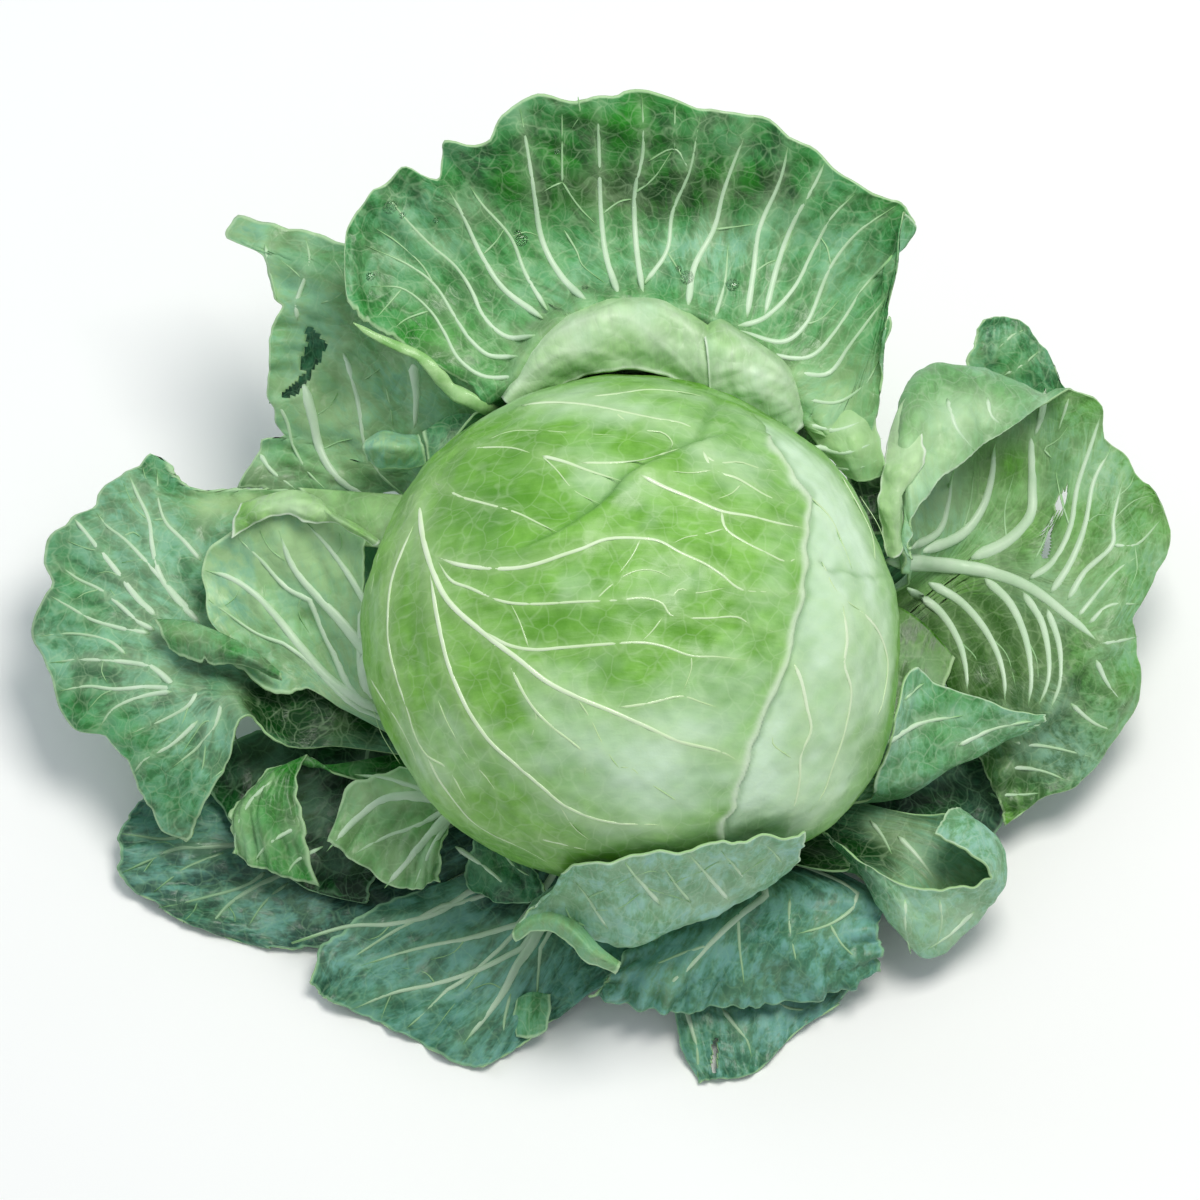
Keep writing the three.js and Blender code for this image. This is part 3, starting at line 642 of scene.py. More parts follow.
# Upper skin of an outer leaf: deep green under a blue-grey wax that is rubbed off in places.
waxy_upper = leaf_material("waxy_leaf_upper_skin", "#3f8f3a", "#0f3a14", "#8cc0a4", "#c6e5ac", "#cbe8bd",
    0.28, 1.0)
# The lower leaves are older: darker flesh under a bluer wax.
old_upper = leaf_material("waxy_old_leaf_skin", "#2c7436", "#082a10", "#86b8b0", "#a9d092", "#9fc9a0",
    0.28, 1.0)
# The inner skin of the great cupped leaf is yellower.
cup_upper = leaf_material("cupped_leaf_skin", "#6aa544", "#22500f", "#97c2ae", "#c9e6b8", "#c6e2b4", 0.3,
    0.8)
# Underside: paler and duller.
leaf_underside = leaf_material("leaf_underside", "#5c9f52", "#1d5523", "#a9d3c8", "#c6e5b4", "#d8eed0",
    0.38, 1.0)
# The cut edge of a leaf: thin, moist and pale.
leaf_edge, tree = new_material("leaf_cut_edge")
finish_material(tree, {"Base Color": linear("#a9d096"), "Roughness": 0.5, "IOR": 1.45})
# Rib of an outer leaf: pale and smooth, whiter where it is thick.
leaf_rib, tree = new_material("pale_leaf_rib")
place = put(tree, "TexCoord").outputs["Object"]
mottle = put(tree, "TexNoise", {"Vector": place, "Scale": 130.0, "Detail": 5.0})
strength = put(tree, "Attribute", attribute_name="strength").outputs["Fac"]
rib_by = put(tree, "MapRange", {"Value": strength, "From Min": 0.1, "From Max": 1.0, "To Min": 0.0,
    "To Max": 1.0})
colour = blend(tree, rib_by, "#8cc07c", blend(tree, mottle, "#b9dbb4", "#dff0d8"))
shade = put(tree, "Attribute", attribute_name="shade").outputs["Fac"]
colour = blend(tree, shade, colour, "#447f4c")
finish_material(tree, {"Base Color": colour, "Roughness": 0.36, "IOR": 1.42})
# A rolled margin shows the pale inner skin, soft and moist.
rolled_margin, tree = new_material("pale_rolled_margin")
place = put(tree, "TexCoord").outputs["Object"]
mottle = put(tree, "TexNoise", {"Vector": place, "Scale": 110.0, "Detail": 6.0, "Roughness": 0.65})
mottled = put(tree, "MapRange", {"Value": mottle, "From Min": 0.35, "From Max": 0.65})
bump = put(tree, "Bump", {"Height": mottle, "Strength": 0.6, "Distance": 0.001})
finish_material(tree, {"Base Color": blend(tree, mottled, "#86bd6c", "#b4da9c"), "Roughness": 0.4,
    "IOR": 1.42,
                       "Coat Weight": 0.2, "Normal": bump})


# Where an outer leaf bends over or its margin curls, it is as pale as the head, with soft white bands.
pale_fold = leaf_material("pale_leaf_fold", "#82bc55", "#2f6a22", "#bfe0cc", "#d3ecc4", "#f1f9ec", 0.32,
    0.6)

# Water: clear drops left on the leaves.
water, tree = new_material("clear_water")
finish_material(tree, {"Base Color": (1, 1, 1, 1), "Roughness": 0.02, "IOR": 1.33,
    "Transmission Weight": 1.0})


def by_head(bearing, gap, radius=None, height=None):
    """A point at a gap outside the head, under it at a radius, or beside it at a height."""
    wide, tall = HEAD_RADIUS + gap, HEAD_HALF_HEIGHT + gap
    if height is None:
        height = HEAD_CENTRE_HEIGHT - tall * math.sqrt(1 - (radius / wide) ** 2)
    else:
        radius = wide * math.sqrt(1 - ((height - HEAD_CENTRE_HEIGHT) / tall) ** 2)
    return radius * math.cos(math.radians(bearing)), radius * math.sin(math.radians(bearing)), height


def on_plane(spot):
    """A place from x and u on the camera's plane and z above the table, in millimetres."""
    x, u, z = spot
    return x, (u - math.cos(SLOPE) * (z - HEAD_CENTRE_HEIGHT)) / math.sin(SLOPE), z


def leaf_net(bearing, root, spread, gap, rails, rising=()):
    """A net over a leaf, first across it and then out from the stem."""
    last = len(rails) - 1
    lines = []
    for k, rail in enumerate(rails):
        side = k / last - 0.5
        line = [by_head(bearing + root * side, gap, radius=ROOT_RADIUS),
                by_head(bearing + spread * side, gap, radius=UNDER_RADIUS)]
        line += [by_head(bearing + wide * side, gap, height=tall) for tall, wide in rising]
        lines.append(line + [on_plane(spot) for spot in rail])
    return through(through(np.array(lines).swapaxes(0, 1), NET_CELLS).swapaxes(0, 1), NET_CELLS)


def lift(net, s, t):
    """Places on a net at the given shares across (s) and out (t)."""
    a, b = s * (net.shape[0] - 1), t * (net.shape[1] - 1)
    i = np.clip(a.astype(int), 0, net.shape[0] - 2)
    j = np.clip(b.astype(int), 0, net.shape[1] - 2)
    fa, fb = (a - i)[:, None], (b - j)[:, None]
    near = net[i, j] * (1 - fa) + net[i + 1, j] * fa
    far = net[i, j + 1] * (1 - fa) + net[i + 1, j + 1] * fa
    return near * (1 - fb) + far * fb


def normals_of(net):
    found = np.cross(np.gradient(net, axis=1), np.gradient(net, axis=0))
    return found / np.maximum(np.linalg.norm(found, axis=-1, keepdims=True), 1e-9)


def ends_at(net, rim):
    """How far out each line of a net runs, as a share, before it crosses the rim that the photograph
    shows."""
    ends = np.ones(net.shape[0])
    if rim is None:
        return ends
    line = through(on_view(rim), 5 * len(rim))
    shares = np.linspace(0.7, 1.18, 49)
    for k in range(len(ends)):
        spots = to_view(lift(net, np.full(len(shares), k / (len(ends) - 1)), shares))[:, :2]
        gap, _ = to_line(line, spots)
        crossed = np.nonzero((gap[:-1] * gap[1:] <= 0) & (np.abs(gap[:-1]) < 5))[0]
        if len(crossed):
            j = crossed[-1]
            ends[k] = shares[j] + 0.01 * gap[j] / (gap[j] - gap[j + 1] + 1e-9)
    return np.convolve(np.pad(ends, 1, "edge"), (0.25, 0.5, 0.25), "valid")


def sheet(net, cells, seed, paint, ribs=(), ragged=2.0, ruffle=(1.2, 5), notches=(), folds=(), bites=(),
          skins=None, open_share=0.3, rim=None, stem_shade=0.5):
    """A thin blade over a net, as a new object, and its places, first across and then out, for its ribs."""
    bpy.ops.object.select_all(action="DESELECT")
    bpy.ops.mesh.primitive_grid_add(x_subdivisions=cells[0], y_subdivisions=cells[1], size=2)
    blade = bpy.context.object
    mesh = blade.data
    flat = np.empty(len(mesh.vertices) * 3)
    mesh.vertices.foreach_get("co", flat)
    flat = flat.reshape(-1, 3)
    s, t = (1 - flat[:, 0]) / 2, (1 + flat[:, 1]) / 2
    reach = np.linalg.norm(np.diff(net, axis=1), axis=-1).sum(axis=1).mean()
    breadth = np.linalg.norm(np.diff(net, axis=0), axis=-1).sum(axis=0)[NET_CELLS // 2:].mean()
    rows = np.column_stack([s * breadth, t * reach]) / 1000
    nothing = np.zeros_like(s)
    ends = ends_at(net, rim)

    # A ragged rim: the outer end and the sides are cut back unevenly by a few millimetres, and at the
    # notches.
    across, outward = (np.stack([v, nothing, nothing], axis=1) for v in (s * breadth, t * reach))
    bite = ragged * (0.2 + 0.5 * wander(across, 24, seed) + 0.32 * wander(across, 9, seed + 1))
    bite += 0.16 * ragged * wander(across, 3.4, seed + 12)
    for where, deep, wide in notches:
        bite += deep * np.exp(-((s - where) / wide) ** 2)
    side_bite = ragged * (0.25 + 0.5 * wander(outward, 22, seed + 2) + 0.25 * wander(outward, 6, seed + 3))
    outer = soft(t, open_share, open_share + 0.25)
    t = t * (np.interp(s, np.linspace(0, 1, len(ends)), ends) - np.clip(bite / reach, -0.06, 0.3))
    s = s + outer * np.clip(side_bite / breadth, -0.04, 0.1) * (1 - 2 * s)
    places, up = lift(net, s, t), lift(normals_of(net), s, t)
    spots = to_view(places)[:, :2]

    swell, count = ruffle
    free = soft(t, 0.5, 1.0)
    waves = swell * free * np.sin(2 * math.pi * (count * s + 0.35 * wander(places, 50, seed + 6)))
    uneven = 0.5 * wander(places, 30, seed + 10)
    waves += 0.45 * swell * free * np.sin(2 * math.pi * (2.3 * count * s + uneven))
    sideways = soft(np.abs(s - 0.5), 0.3, 0.5)
    waves += 0.8 * swell * outer * np.sin(2 * math.pi * (0.8 * count * t + s)) * sideways
    waves += (0.5 * wander(places, 14, seed + 7) + 0.22 * wander(places, 5, seed + 11)) * soft(t, 0.25, 0.5)
    glow = np.zeros(len(s))
    tent = np.zeros(len(s))
    for width, path in ribs:
        gap, along = to_line(through(on_view(path), 3 * len(path)), spots, 18)
        wide = width * (1.1 - 0.6 * along)
        glow = np.maximum(glow, np.minimum(wide, 1) * np.exp(-np.abs(gap) / (2.2 * wide + 0.4)))
        tent = np.maximum(tent, np.minimum(wide, 1.6) * np.exp(-np.abs(gap) / 5))
    places = places + up * (waves + 0.7 * tent * soft(t, 0.2, 0.4))[:, None]
    for path, rise, drop, far in folds:
        gap, along = to_line(through(on_view(path), 3 * len(path)), spots, 60)
        share = soft(along, -0.01, 0.12) * soft(along, 1.01, 0.85) * outer
        lifted = rise * np.exp(-(gap / 6) ** 2) - drop * soft(gap, 0, 5) * np.exp(-np.maximum(gap, 0) / far)
        places = places + TOWARDS_CAMERA * (lifted * share)[:, None]
    mesh.vertices.foreach_set("co", (places / 1000).ravel())

    to_side = np.minimum(1 + flat[:, 0], 1 - flat[:, 0]) / 2 * breadth + (1 - outer) * 50
    edge = np.minimum((1 - flat[:, 1]) / 2 * reach, to_side)
    for label, (base, patches) in paint.items():
        values = base + airbrush(spots, patches) + 0.14 * wander(places, 40, seed + 8)
        values = values + 0.08 * wander(places, 14, seed + 9)
        # Toward the stem, where the leaf lies under the head, the dark paint is raised: painted shade.
        if label == "dark":
            values = values + stem_shade * (1 - soft(t, 0.15, 0.55))
        keep(mesh, label, np.clip(values, 0, 1))
    keep(mesh, "glow", np.clip(glow, 0, 1))
    keep(mesh, "edge", edge)
    corner = np.empty(len(mesh.loops), int)
    mesh.loops.foreach_get("vertex_index", corner)
    layer = mesh.uv_layers.new(name="rows")
    layer.data.foreach_set("uv", rows[corner].ravel())

    gone = np.zeros(len(s), bool)
    for path, wide in bites:
        gap, _ = to_line(through(on_view(path), 3 * len(path)), spots, 30)
        gone |= np.abs(gap) < wide * (1 + 0.3 * wander(places, 6, seed + 13))
    if gone.any():
        bpy.ops.object.mode_set(mode="EDIT")
        bpy.ops.mesh.select_mode(type="VERT")
        bpy.ops.mesh.select_all(action="DESELECT")
        bpy.ops.object.mode_set(mode="OBJECT")
        mesh.vertices.foreach_set("select", gone)
        bpy.ops.object.mode_set(mode="EDIT")
        bpy.ops.mesh.delete(type="VERT")
        bpy.ops.object.mode_set(mode="OBJECT")
    for skin in skins or (waxy_upper, leaf_underside, leaf_edge):
        mesh.materials.append(skin)
    shell = blade.modifiers.new("thickness", "SOLIDIFY")
    shell.thickness = LEAF_THICKNESS / 1000
    shell.offset = 0
    shell.material_offset = 1
    shell.material_offset_rim = 2
    bpy.ops.object.modifier_apply(modifier="thickness")
    bpy.ops.object.shade_smooth()
    return blade, places.reshape(cells[1] + 1, cells[0] + 1, 3)[:, ::-1].swapaxes(0, 1)


def finder_of(surface):
    """A finder of the points of a surface from their places on the camera's plane."""
    finder = KDTree(len(surface))
    for k, (x, u, _) in enumerate(surface):
        finder.insert((x, u, 0), k)
    finder.balance()
    return finder


def lay_ribs(blade, net, ribs, midrib=0.5, covered=0.04, lead_from=0.9, shade=0.0):
    """Lays ribs from the photograph on a blade. Those of some width go on down to the stem, out of
    sight."""
    surface = to_view(net.reshape(-1, 3))
    finder = finder_of(surface)
    up = normals_of(net)
    laid = []
    for width, path in ribs:
        places, normals = drape(path, finder, surface)
        along = np.linspace(0, 1, len(places))
        wide = width * (1.05 - 0.65 * along) * soft(along, 1.02, 0.85)
        _, nearest, _ = finder.find((*to_view(places[0])[:2], 0))
        start = np.array(divmod(nearest, net.shape[1])) / (np.array(net.shape[:2]) - 1)
        if covered is not None and width >= lead_from and start[1] > 0.25:
            t = np.linspace(0.08, max(start[1] - covered, 0.12), 16)
            s = midrib + (start[0] - midrib) * (0.5 + 0.5 * t / start[1])
            lead, lead_up = lift(net, s, t), lift(up, s, t)
            lead_up *= np.where((lead_up[-1:] * normals[0]).sum() < 0, -1, 1)
            lead_wide = np.linspace(1.5, 1.05, 16) * width
            if covered > 0.1:
                lead_wide = lead_wide * soft(t, t[-1], t[-1] - 0.06)
                laid.append((lead, lead_up, lead_wide + 0.02, LEAF_THICKNESS / 2 + 0.34 * lead_wide))
                wide = wide * soft(along, -0.04, 0.08)
            else:
                places, normals = np.concatenate([lead, places]), np.concatenate([lead_up, normals])
                wide = np.concatenate([lead_wide, wide])
        else:
            wide = wide * soft(along, -0.04, 0.08)
        laid.append((places, normals, wide + 0.02, LEAF_THICKNESS / 2 + 0.2 + 0.36 * wide))
    add_ribs(blade, laid, leaf_rib, shade)


def roll_margin(blade, net, rolls):
    """Rolled margins laid on a blade along paths in the photograph, with half widths at the start, middle
    and end."""
    surface = to_view(net.reshape(-1, 3))
    finder = finder_of(surface)
    laid = []
    for widths, path in rolls:
        places, normals = drape(path, finder, surface, 1.6)
        along = np.linspace(0, 1, len(places))
        closed = np.sqrt(soft(along, -0.01, 0.1) * soft(along, 1.01, 0.9))
        wide = np.interp(along, [0, 0.5, 1], widths) * closed
        wide = wide * (1 + 0.12 * wander(places, 10, len(path)))
        laid.append((places + normals * 0.3, normals, wide + 0.05, 0.4 * wide + 0.05))
    add_ribs(blade, laid, rolled_margin)


def grow(name, seed, place, rails, paint, ribs=(), veins=(), cells=(90, 90), rising=(), rolls=(), scraps=(),
         drops=(), midrib=0.5, covered=0.04, lead_from=0.9, shade=0.0, **shape):
    """Makes a loose leaf: its blade, the ribs and rolled margins on it, and the scraps of leaf that belong
    to it."""
    net = leaf_net(*place, rails, rising)
    blade, places = sheet(net, cells, seed, paint, tuple(ribs) + tuple(veins), **shape)
    lay_ribs(blade, places, tuple(ribs) + tuple(veins), midrib, covered, lead_from, shade)
    if rolls:
        roll_margin(blade, places, rolls)
    if scraps:
        blade = join([blade, *scraps])
    if drops:
        blade = dew(blade, places, drops)
    seal(blade, "blade_" + name, "leaf_" + name)


def scrap(rows, seed, paint, cells=(40, 30), ribs=(), bands=(), ragged=0.8, shade=0.0, **shape):
    """A small piece of leaf over rows of places in the photograph, with heights above the table. Bands are
    only paint."""
    piece, places = sheet(scrap_net(rows), cells, seed, paint, tuple(ribs) + tuple(bands), ragged=ragged,
                          ruffle=(0, 1), open_share=-1, stem_shade=0, **shape)
    if ribs:
        lay_ribs(piece, places, ribs, covered=None, shade=shade)
    return piece


def seal(blade, name, node):
    blade.name = name
    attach(blade, "root")
    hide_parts(node)


def dew(piece, net, spots):
    """Drops of water on a piece, each with its place in the photograph and its half width in
    millimetres."""
    surface = to_view(net.reshape(-1, 3))
    finder = finder_of(surface)
    drops = [piece]
    for px, py, wide in spots:
        places, normals = drape([(px - 3, py), (px + 3, py)], finder, surface)
        bpy.ops.object.select_all(action="DESELECT")
        bpy.ops.mesh.primitive_uv_sphere_add(segments=20, ring_count=10, radius=1)
        drop = bpy.context.object
        bpy.ops.object.shade_smooth()
        drop.scale = np.array([wide * 1.15, wide, 0.42 * wide]) / 1000
        drop.rotation_euler = Vector(normals[0]).to_track_quat("Z", "Y").to_euler()
        drop.location = (places[0] + normals[0] * (LEAF_THICKNESS / 2 + 0.1 * wide)) / 1000
        bpy.ops.object.transform_apply(location=True, rotation=True, scale=True)
        drop.data.materials.append(water)
        drops.append(drop)
    return join(drops)


def join(pieces):
    """Joins pieces into the first."""
    bpy.ops.object.select_all(action="DESELECT")
    for piece in pieces:
        piece.select_set(True)
    bpy.context.view_layer.objects.active = pieces[0]
    bpy.ops.object.join()
    return pieces[0]


def scrap_net(rows):
    """A net over a small piece of leaf, from rows of places in the photograph with heights above the
    table."""
    spots = [[on_plane((*on_view((px, py)), z)) for px, py, z in row] for row in rows]
    return through(through(np.array(spots), NET_CELLS).swapaxes(0, 1), NET_CELLS)


# The great leaf behind the head. It climbs the back of the head, bends over a lip and stands up round its
# wavy rim.
BACK_RAILS = [
    [(69, 76, 116), (80, 66, 110), (86, 58, 101), (93, 80, 118), (96, 104, 138)],
    [(62, 83, 120), (66, 86, 124), (81, 98, 131), (92, 116, 146), (99, 136, 160)],
    [(56, 89, 124), (60, 99, 132), (77, 120, 140), (94, 141, 155), (106, 157, 168)],
    [(47, 94, 128), (51, 112, 140), (62, 137, 147), (77, 159, 165), (90, 168, 176)],
    [(36, 98, 131), (39, 120, 145), (43, 148, 150), (48, 174, 172), (50, 193, 190)],
    [(24, 101, 133), (26, 124, 148), (22, 152, 150), (14, 180, 176), (4, 203, 199)],
    [(8, 102, 134), (13, 126, 148), (0, 152, 149), (-19, 180, 175), (-36, 202, 196)],
    [(-10, 101, 133), (-4, 125, 147), (-26, 146, 146), (-49, 169, 166), (-67, 184, 180)],
    [(-28, 98, 131), (-26, 114, 142), (-52, 135, 141), (-73, 161, 158), (-86, 175, 168)],
    [(-44, 93, 127), (-49, 103, 134), (-71, 124, 136), (-90, 144, 146), (-103, 159, 156)],
    [(-56, 86, 122), (-66, 96, 127), (-84, 105, 131), (-98, 114, 136), (-107, 125, 142)],
]
BACK_RIBS = [
    (1.4, [(542, 317), (503, 287), (481, 254), (462, 213), (448, 188)]),
    (1.1, [(536, 335), (507, 336), (484, 317), (470, 287), (455, 265), (429, 243), (400, 212), (385, 192)]),
    (1.1, [(518, 356), (488, 354), (470, 339), (455, 317), (433, 283), (410, 265), (362, 243)]),
    (1.0, [(518, 376), (484, 376), (458, 358), (444, 332), (429, 309), (401, 287), (370, 285)]),
    (1.0, [(547, 309), (525, 272), (510, 235), (481, 202), (470, 185)]),
    (1.5, [(586, 300), (562, 276), (542, 239), (534, 191), (528, 154), (520, 108)]),
    (1.4, [(619, 295), (606, 254), (601, 213), (599, 154), (598, 97)]),
    (1.3, [(643, 293), (636, 239), (635, 191), (643, 150), (642, 93)]),
    (1.1, [(645, 282), (667, 250), (673, 210), (690, 169), (700, 115)]),
    (1.5, [(688, 306), (695, 265), (714, 228), (725, 187), (750, 120)]),
    (0.9, [(715, 317), (725, 283), (729, 243)]),
    (1.4, [(747, 317), (754, 272), (760, 228), (780, 180), (790, 140)]),
    (1.3, [(765, 316), (780, 258), (795, 220), (817, 180), (826, 160)]),
    (1.2, [(738, 326), (765, 317), (795, 287), (814, 250), (832, 217), (858, 190)]),
    (1.2, [(740, 331), (784, 341), (806, 324), (832, 265), (858, 232), (895, 205)]),
    (1.1, [(765, 354), (810, 356), (836, 331), (865, 287), (893, 255)]),
    (1.1, [(790, 371), (828, 373), (850, 346), (869, 320), (886, 298)]),
    (0.9, [(803, 398), (836, 402), (862, 387), (880, 360)]),
    (1.2, [(807, 424), (836, 428), (876, 412)]),
    (1.2, [(814, 446), (847, 450), (880, 436)]),
]
BACK_VEINS = [
    (0.5, [(667, 250), (676, 264), (686, 282)]),
    (0.5, [(564, 228), (577, 250), (582, 263), (606, 283)]),
    (0.5, [(562, 180), (580, 206), (596, 222)]),
    (0.6, [(562, 180), (562, 158), (562, 99)]),
    (0.6, [(689, 167), (675, 147), (647, 160)]),
    (0.6, [(675, 147), (675, 103)]),
    (0.4, [(578, 97), (580, 113), (571, 128)]),
    (0.5, [(562, 180), (548, 186), (536, 194)]),
    (0.5, [(714, 228), (735, 225), (760, 222)]),
    (0.5, [(832, 265), (828, 246), (821, 235)]),
    (0.5, [(780, 258), (790, 240), (795, 220)]),
    (0.5, [(806, 324), (822, 318), (840, 300)]),
    (0.5, [(481, 254), (495, 240), (505, 225)]),
    (0.5, [(433, 283), (420, 262), (396, 240), (372, 225)]),
    (0.5, [(401, 287), (390, 300), (375, 318)]),
    (0.5, [(429, 309), (405, 318), (390, 330)]),
    (0.5, [(635, 191), (655, 175), (672, 150)]),
    (0.5, [(601, 213), (618, 200), (634, 196)]),
    (0.5, [(754, 272), (768, 262), (779, 258)]),
    (0.4, [(510, 235), (525, 230), (541, 235)]),
]
BACK_CREST = [(505, 392), (514, 376), (532, 346), (562, 317), (595, 302), (625, 295), (658, 298),
    (684, 309), (710, 317), (732, 331), (758, 346), (784, 361)]
BACK_LOBE = [(824, 458), (808, 426), (800, 390), (788, 366)]
BACK_PLEAT = [(712, 396), (711, 370), (702, 345), (680, 312)]
BACK_MARGIN = [(352, 322), (372, 334), (398, 346), (420, 356), (437, 373), (452, 390), (472, 400),
    (490, 409), (502, 412)]
BACK_RIM = [(885, 500), (884, 470), (880, 400), (886, 350), (893, 300), (903, 255), (914, 222), (910, 208),
    (898, 196), (880, 194), (858, 180), (838, 171), (826, 160), (815, 145), (795, 137), (778, 128),
    (762, 117), (740, 114), (718, 109), (705, 112), (690, 107), (668, 94), (650, 89), (630, 88), (612, 94),
    (596, 91), (575, 95), (560, 95), (545, 89), (525, 97), (508, 108), (497, 120), (491, 135), (482, 143),
    (465, 145), (448, 136), (441, 142), (441, 168), (436, 181), (420, 170), (401, 161), (392, 171),
    (385, 182), (372, 185), (362, 200), (353, 212), (345, 232), (344, 252), (344, 285), (350, 320)]
BACK_PAINT = {
    "dark": (
        0.05,
        [(620, 140, 130, 40, 0.45), (640, 190, 130, 22, 0.85), (775, 170, 22, 50, 0.45),
            (480, 150, 50, 25, 0.3), (620, 285, 80, 10, 0.35), (400, 210, 40, 40, 0.2)],
    ),
    "wax": (
        0.42,
        [(560, 260, 60, 50, 0.1), (700, 255, 70, 40, 0.45), (850, 250, 50, 70, 0.3),
            (640, 190, 150, 30, -0.7), (620, 130, 120, 30, -0.3), (400, 200, 50, 30, 0.3),
            (600, 345, 90, 30, -0.6), (440, 340, 60, 40, -0.3), (740, 370, 60, 30, -0.4)],
    ),
    "pale": (
        0.02,
        [(540, 372, 30, 24, 0.9), (580, 345, 32, 28, 0.95), (625, 335, 38, 28, 0.95),
            (665, 348, 32, 32, 0.95), (700, 365, 22, 30, 0.8), (735, 358, 26, 20, 0.9),
            (770, 382, 35, 24, 0.9), (840, 440, 36, 44, 0.95), (850, 380, 40, 40, 0.4),
            (850, 300, 50, 60, 0.2), (430, 350, 50, 40, 0.2)],
    ),
}
# The lip's dark paint is painted shade along its foot, where it sinks toward the gap by the head.
LIP_PAINT = {
    "dark": (0, [(600, 372, 90, 10, 0.5), (700, 385, 20, 20, 0.5), (545, 398, 30, 10, 0.3)]),
    "wax": (0.2, []),
    "pale": (
        0.45,
        [(580, 345, 40, 20, 0.4), (640, 330, 40, 20, 0.2), (760, 375, 30, 14, 0.4),
            (530, 385, 20, 12, 0.4)],
    ),
}
LIP_BANDS = [
    (2.6, [(506, 384), (532, 350), (562, 330), (606, 316), (632, 320), (658, 340), (688, 366), (706, 387)]),
    (2.0, [(508, 398), (532, 372), (569, 350), (606, 352), (658, 378), (695, 390)]),
    (2.0, [(709, 394), (705, 361), (692, 332), (662, 304)]),
    (0.8, [(560, 330), (590, 326), (640, 345), (660, 362)]),
]
LIP_ROWS = [
    [(501, 396, 122), (512, 374, 129), (531, 346, 138), (562, 318, 146), (595, 303, 149), (625, 296, 150),
        (658, 299, 150), (684, 310, 149), (712, 328, 147)],
    [(505, 400, 126), (519, 380, 132), (539, 352, 141), (566, 328, 149), (596, 313, 153), (625, 306, 154),
        (656, 309, 154), (682, 320, 152), (712, 339, 149)],
    [(511, 404, 124), (529, 389, 130), (552, 368, 138), (574, 352, 145), (600, 340, 149), (626, 334, 150),
        (654, 338, 150), (682, 350, 147), (716, 368, 143)],
    [(520, 406, 118), (540, 396, 123), (560, 385, 129), (582, 376, 133), (606, 370, 136), (630, 368, 137),
        (656, 372, 137), (684, 384, 135), (720, 402, 131)],
]
lip = scrap(LIP_ROWS, 1102, LIP_PAINT, (110, 50), bands=LIP_BANDS, ragged=0.3, skins=(pale_fold,) * 3)
RIGHT_LIP_BANDS = [
    (2.0, [(713, 394), (722, 369), (738, 348), (764, 350)]),
    (1.6, [(724, 364), (758, 374), (790, 384)]),
    (1.6, [(738, 385), (776, 396), (796, 410)]),
    (1.4, [(806, 424), (792, 384), (760, 352), (722, 326)]),
]
RIGHT_LIP_ROWS = [
    [(702, 330, 147), (719, 319, 146), (740, 331, 144), (762, 345, 141), (784, 361, 136), (800, 385, 129),
        (809, 424, 117)],
    [(705, 341, 150), (722, 330, 151), (742, 342, 149), (761, 356, 146), (779, 371, 141), (791, 392, 133),
        (801, 427, 119)],
    [(709, 366, 145), (724, 361, 148), (741, 370, 146), (757, 381, 142), (771, 393, 137), (783, 409, 129),
        (795, 434, 117)],
    [(712, 400, 131), (728, 400, 133), (744, 405, 132), (758, 412, 129), (772, 421, 125), (784, 432, 119),
        (798, 446, 112)],
]
right_lip = scrap(RIGHT_LIP_ROWS, 1103, LIP_PAINT, (90, 50), bands=RIGHT_LIP_BANDS, ragged=0.3,
    skins=(pale_fold,) * 3)
# A piece of leaf under the lip, painted dark: painted shade in the gap between the lobe and the head.
SHADED_UNDER_LIP_PAINT = {"dark": (0.5, []), "wax": (0.1, []), "pale": (0.2, [])}
UNDER_LIP_ROWS = [
    [(764, 405, 117), (800, 402, 115), (822, 430, 110)],
    [(786, 440, 107), (810, 452, 105), (834, 470, 101)],
    [(802, 474, 99), (826, 486, 97), (850, 498, 95)],
]
shaded_under_lip = scrap(UNDER_LIP_ROWS, 1104, SHADED_UNDER_LIP_PAINT, (30, 24))
SHADED_GAP_PAINT = {"dark": (0.8, []), "wax": (0, []), "pale": (0, [])}
SHADED_GAP_ROWS = [
    [(846, 474, 92), (868, 474, 92), (890, 468, 92)],
    [(856, 500, 88), (874, 502, 88), (894, 498, 88)],
    [(866, 534, 84), (880, 534, 84), (898, 532, 84)],
]
shaded_gap = scrap(SHADED_GAP_ROWS, 1105, SHADED_GAP_PAINT, (20, 20))
LOW_LOBE_RIBS = [
    (1.3, [(804, 424), (836, 430), (878, 414)]),
    (1.3, [(816, 446), (847, 452), (882, 438)]),
    (0.8, [(834, 466), (856, 468), (884, 456)]),
]
LOW_LOBE_PAINT = {
    "dark": (0, [(812, 430, 8, 30, 0.4)]),
    "wax": (0.15, []),
    "pale": (0.85, [(870, 470, 20, 10, -0.4)]),
}
LOW_LOBE_ROWS = [
    [(796, 392, 120), (835, 388, 121), (862, 388, 121), (882, 386, 119)],
    [(806, 425, 114), (838, 428, 119), (862, 424, 119), (876, 420, 115)],
    [(826, 452, 109), (852, 456, 114), (870, 454, 113), (884, 458, 109)],
    [(848, 474, 103), (858, 482, 105), (872, 480, 105), (887, 472, 103)],
]
low_lobe = scrap(LOW_LOBE_ROWS, 1101, LOW_LOBE_PAINT, (50, 60), ribs=LOW_LOBE_RIBS)
BACK_FOLDS = ((BACK_CREST, 3.5, 9, 20), (BACK_LOBE, 3, 6, 22), (BACK_PLEAT, -3, 0, 10))
BACK_DROPS = [(524, 238, 2.2), (520, 231, 1.2), (691, 277, 2.6), (736, 284, 2.4), (682, 268, 1.2),
    (392, 205, 2.4), (404, 214, 1.2), (438, 218, 1.0), (372, 275, 1.6), (588, 287, 1.2), (640, 140, 1.0),
    (560, 150, 0.9)]
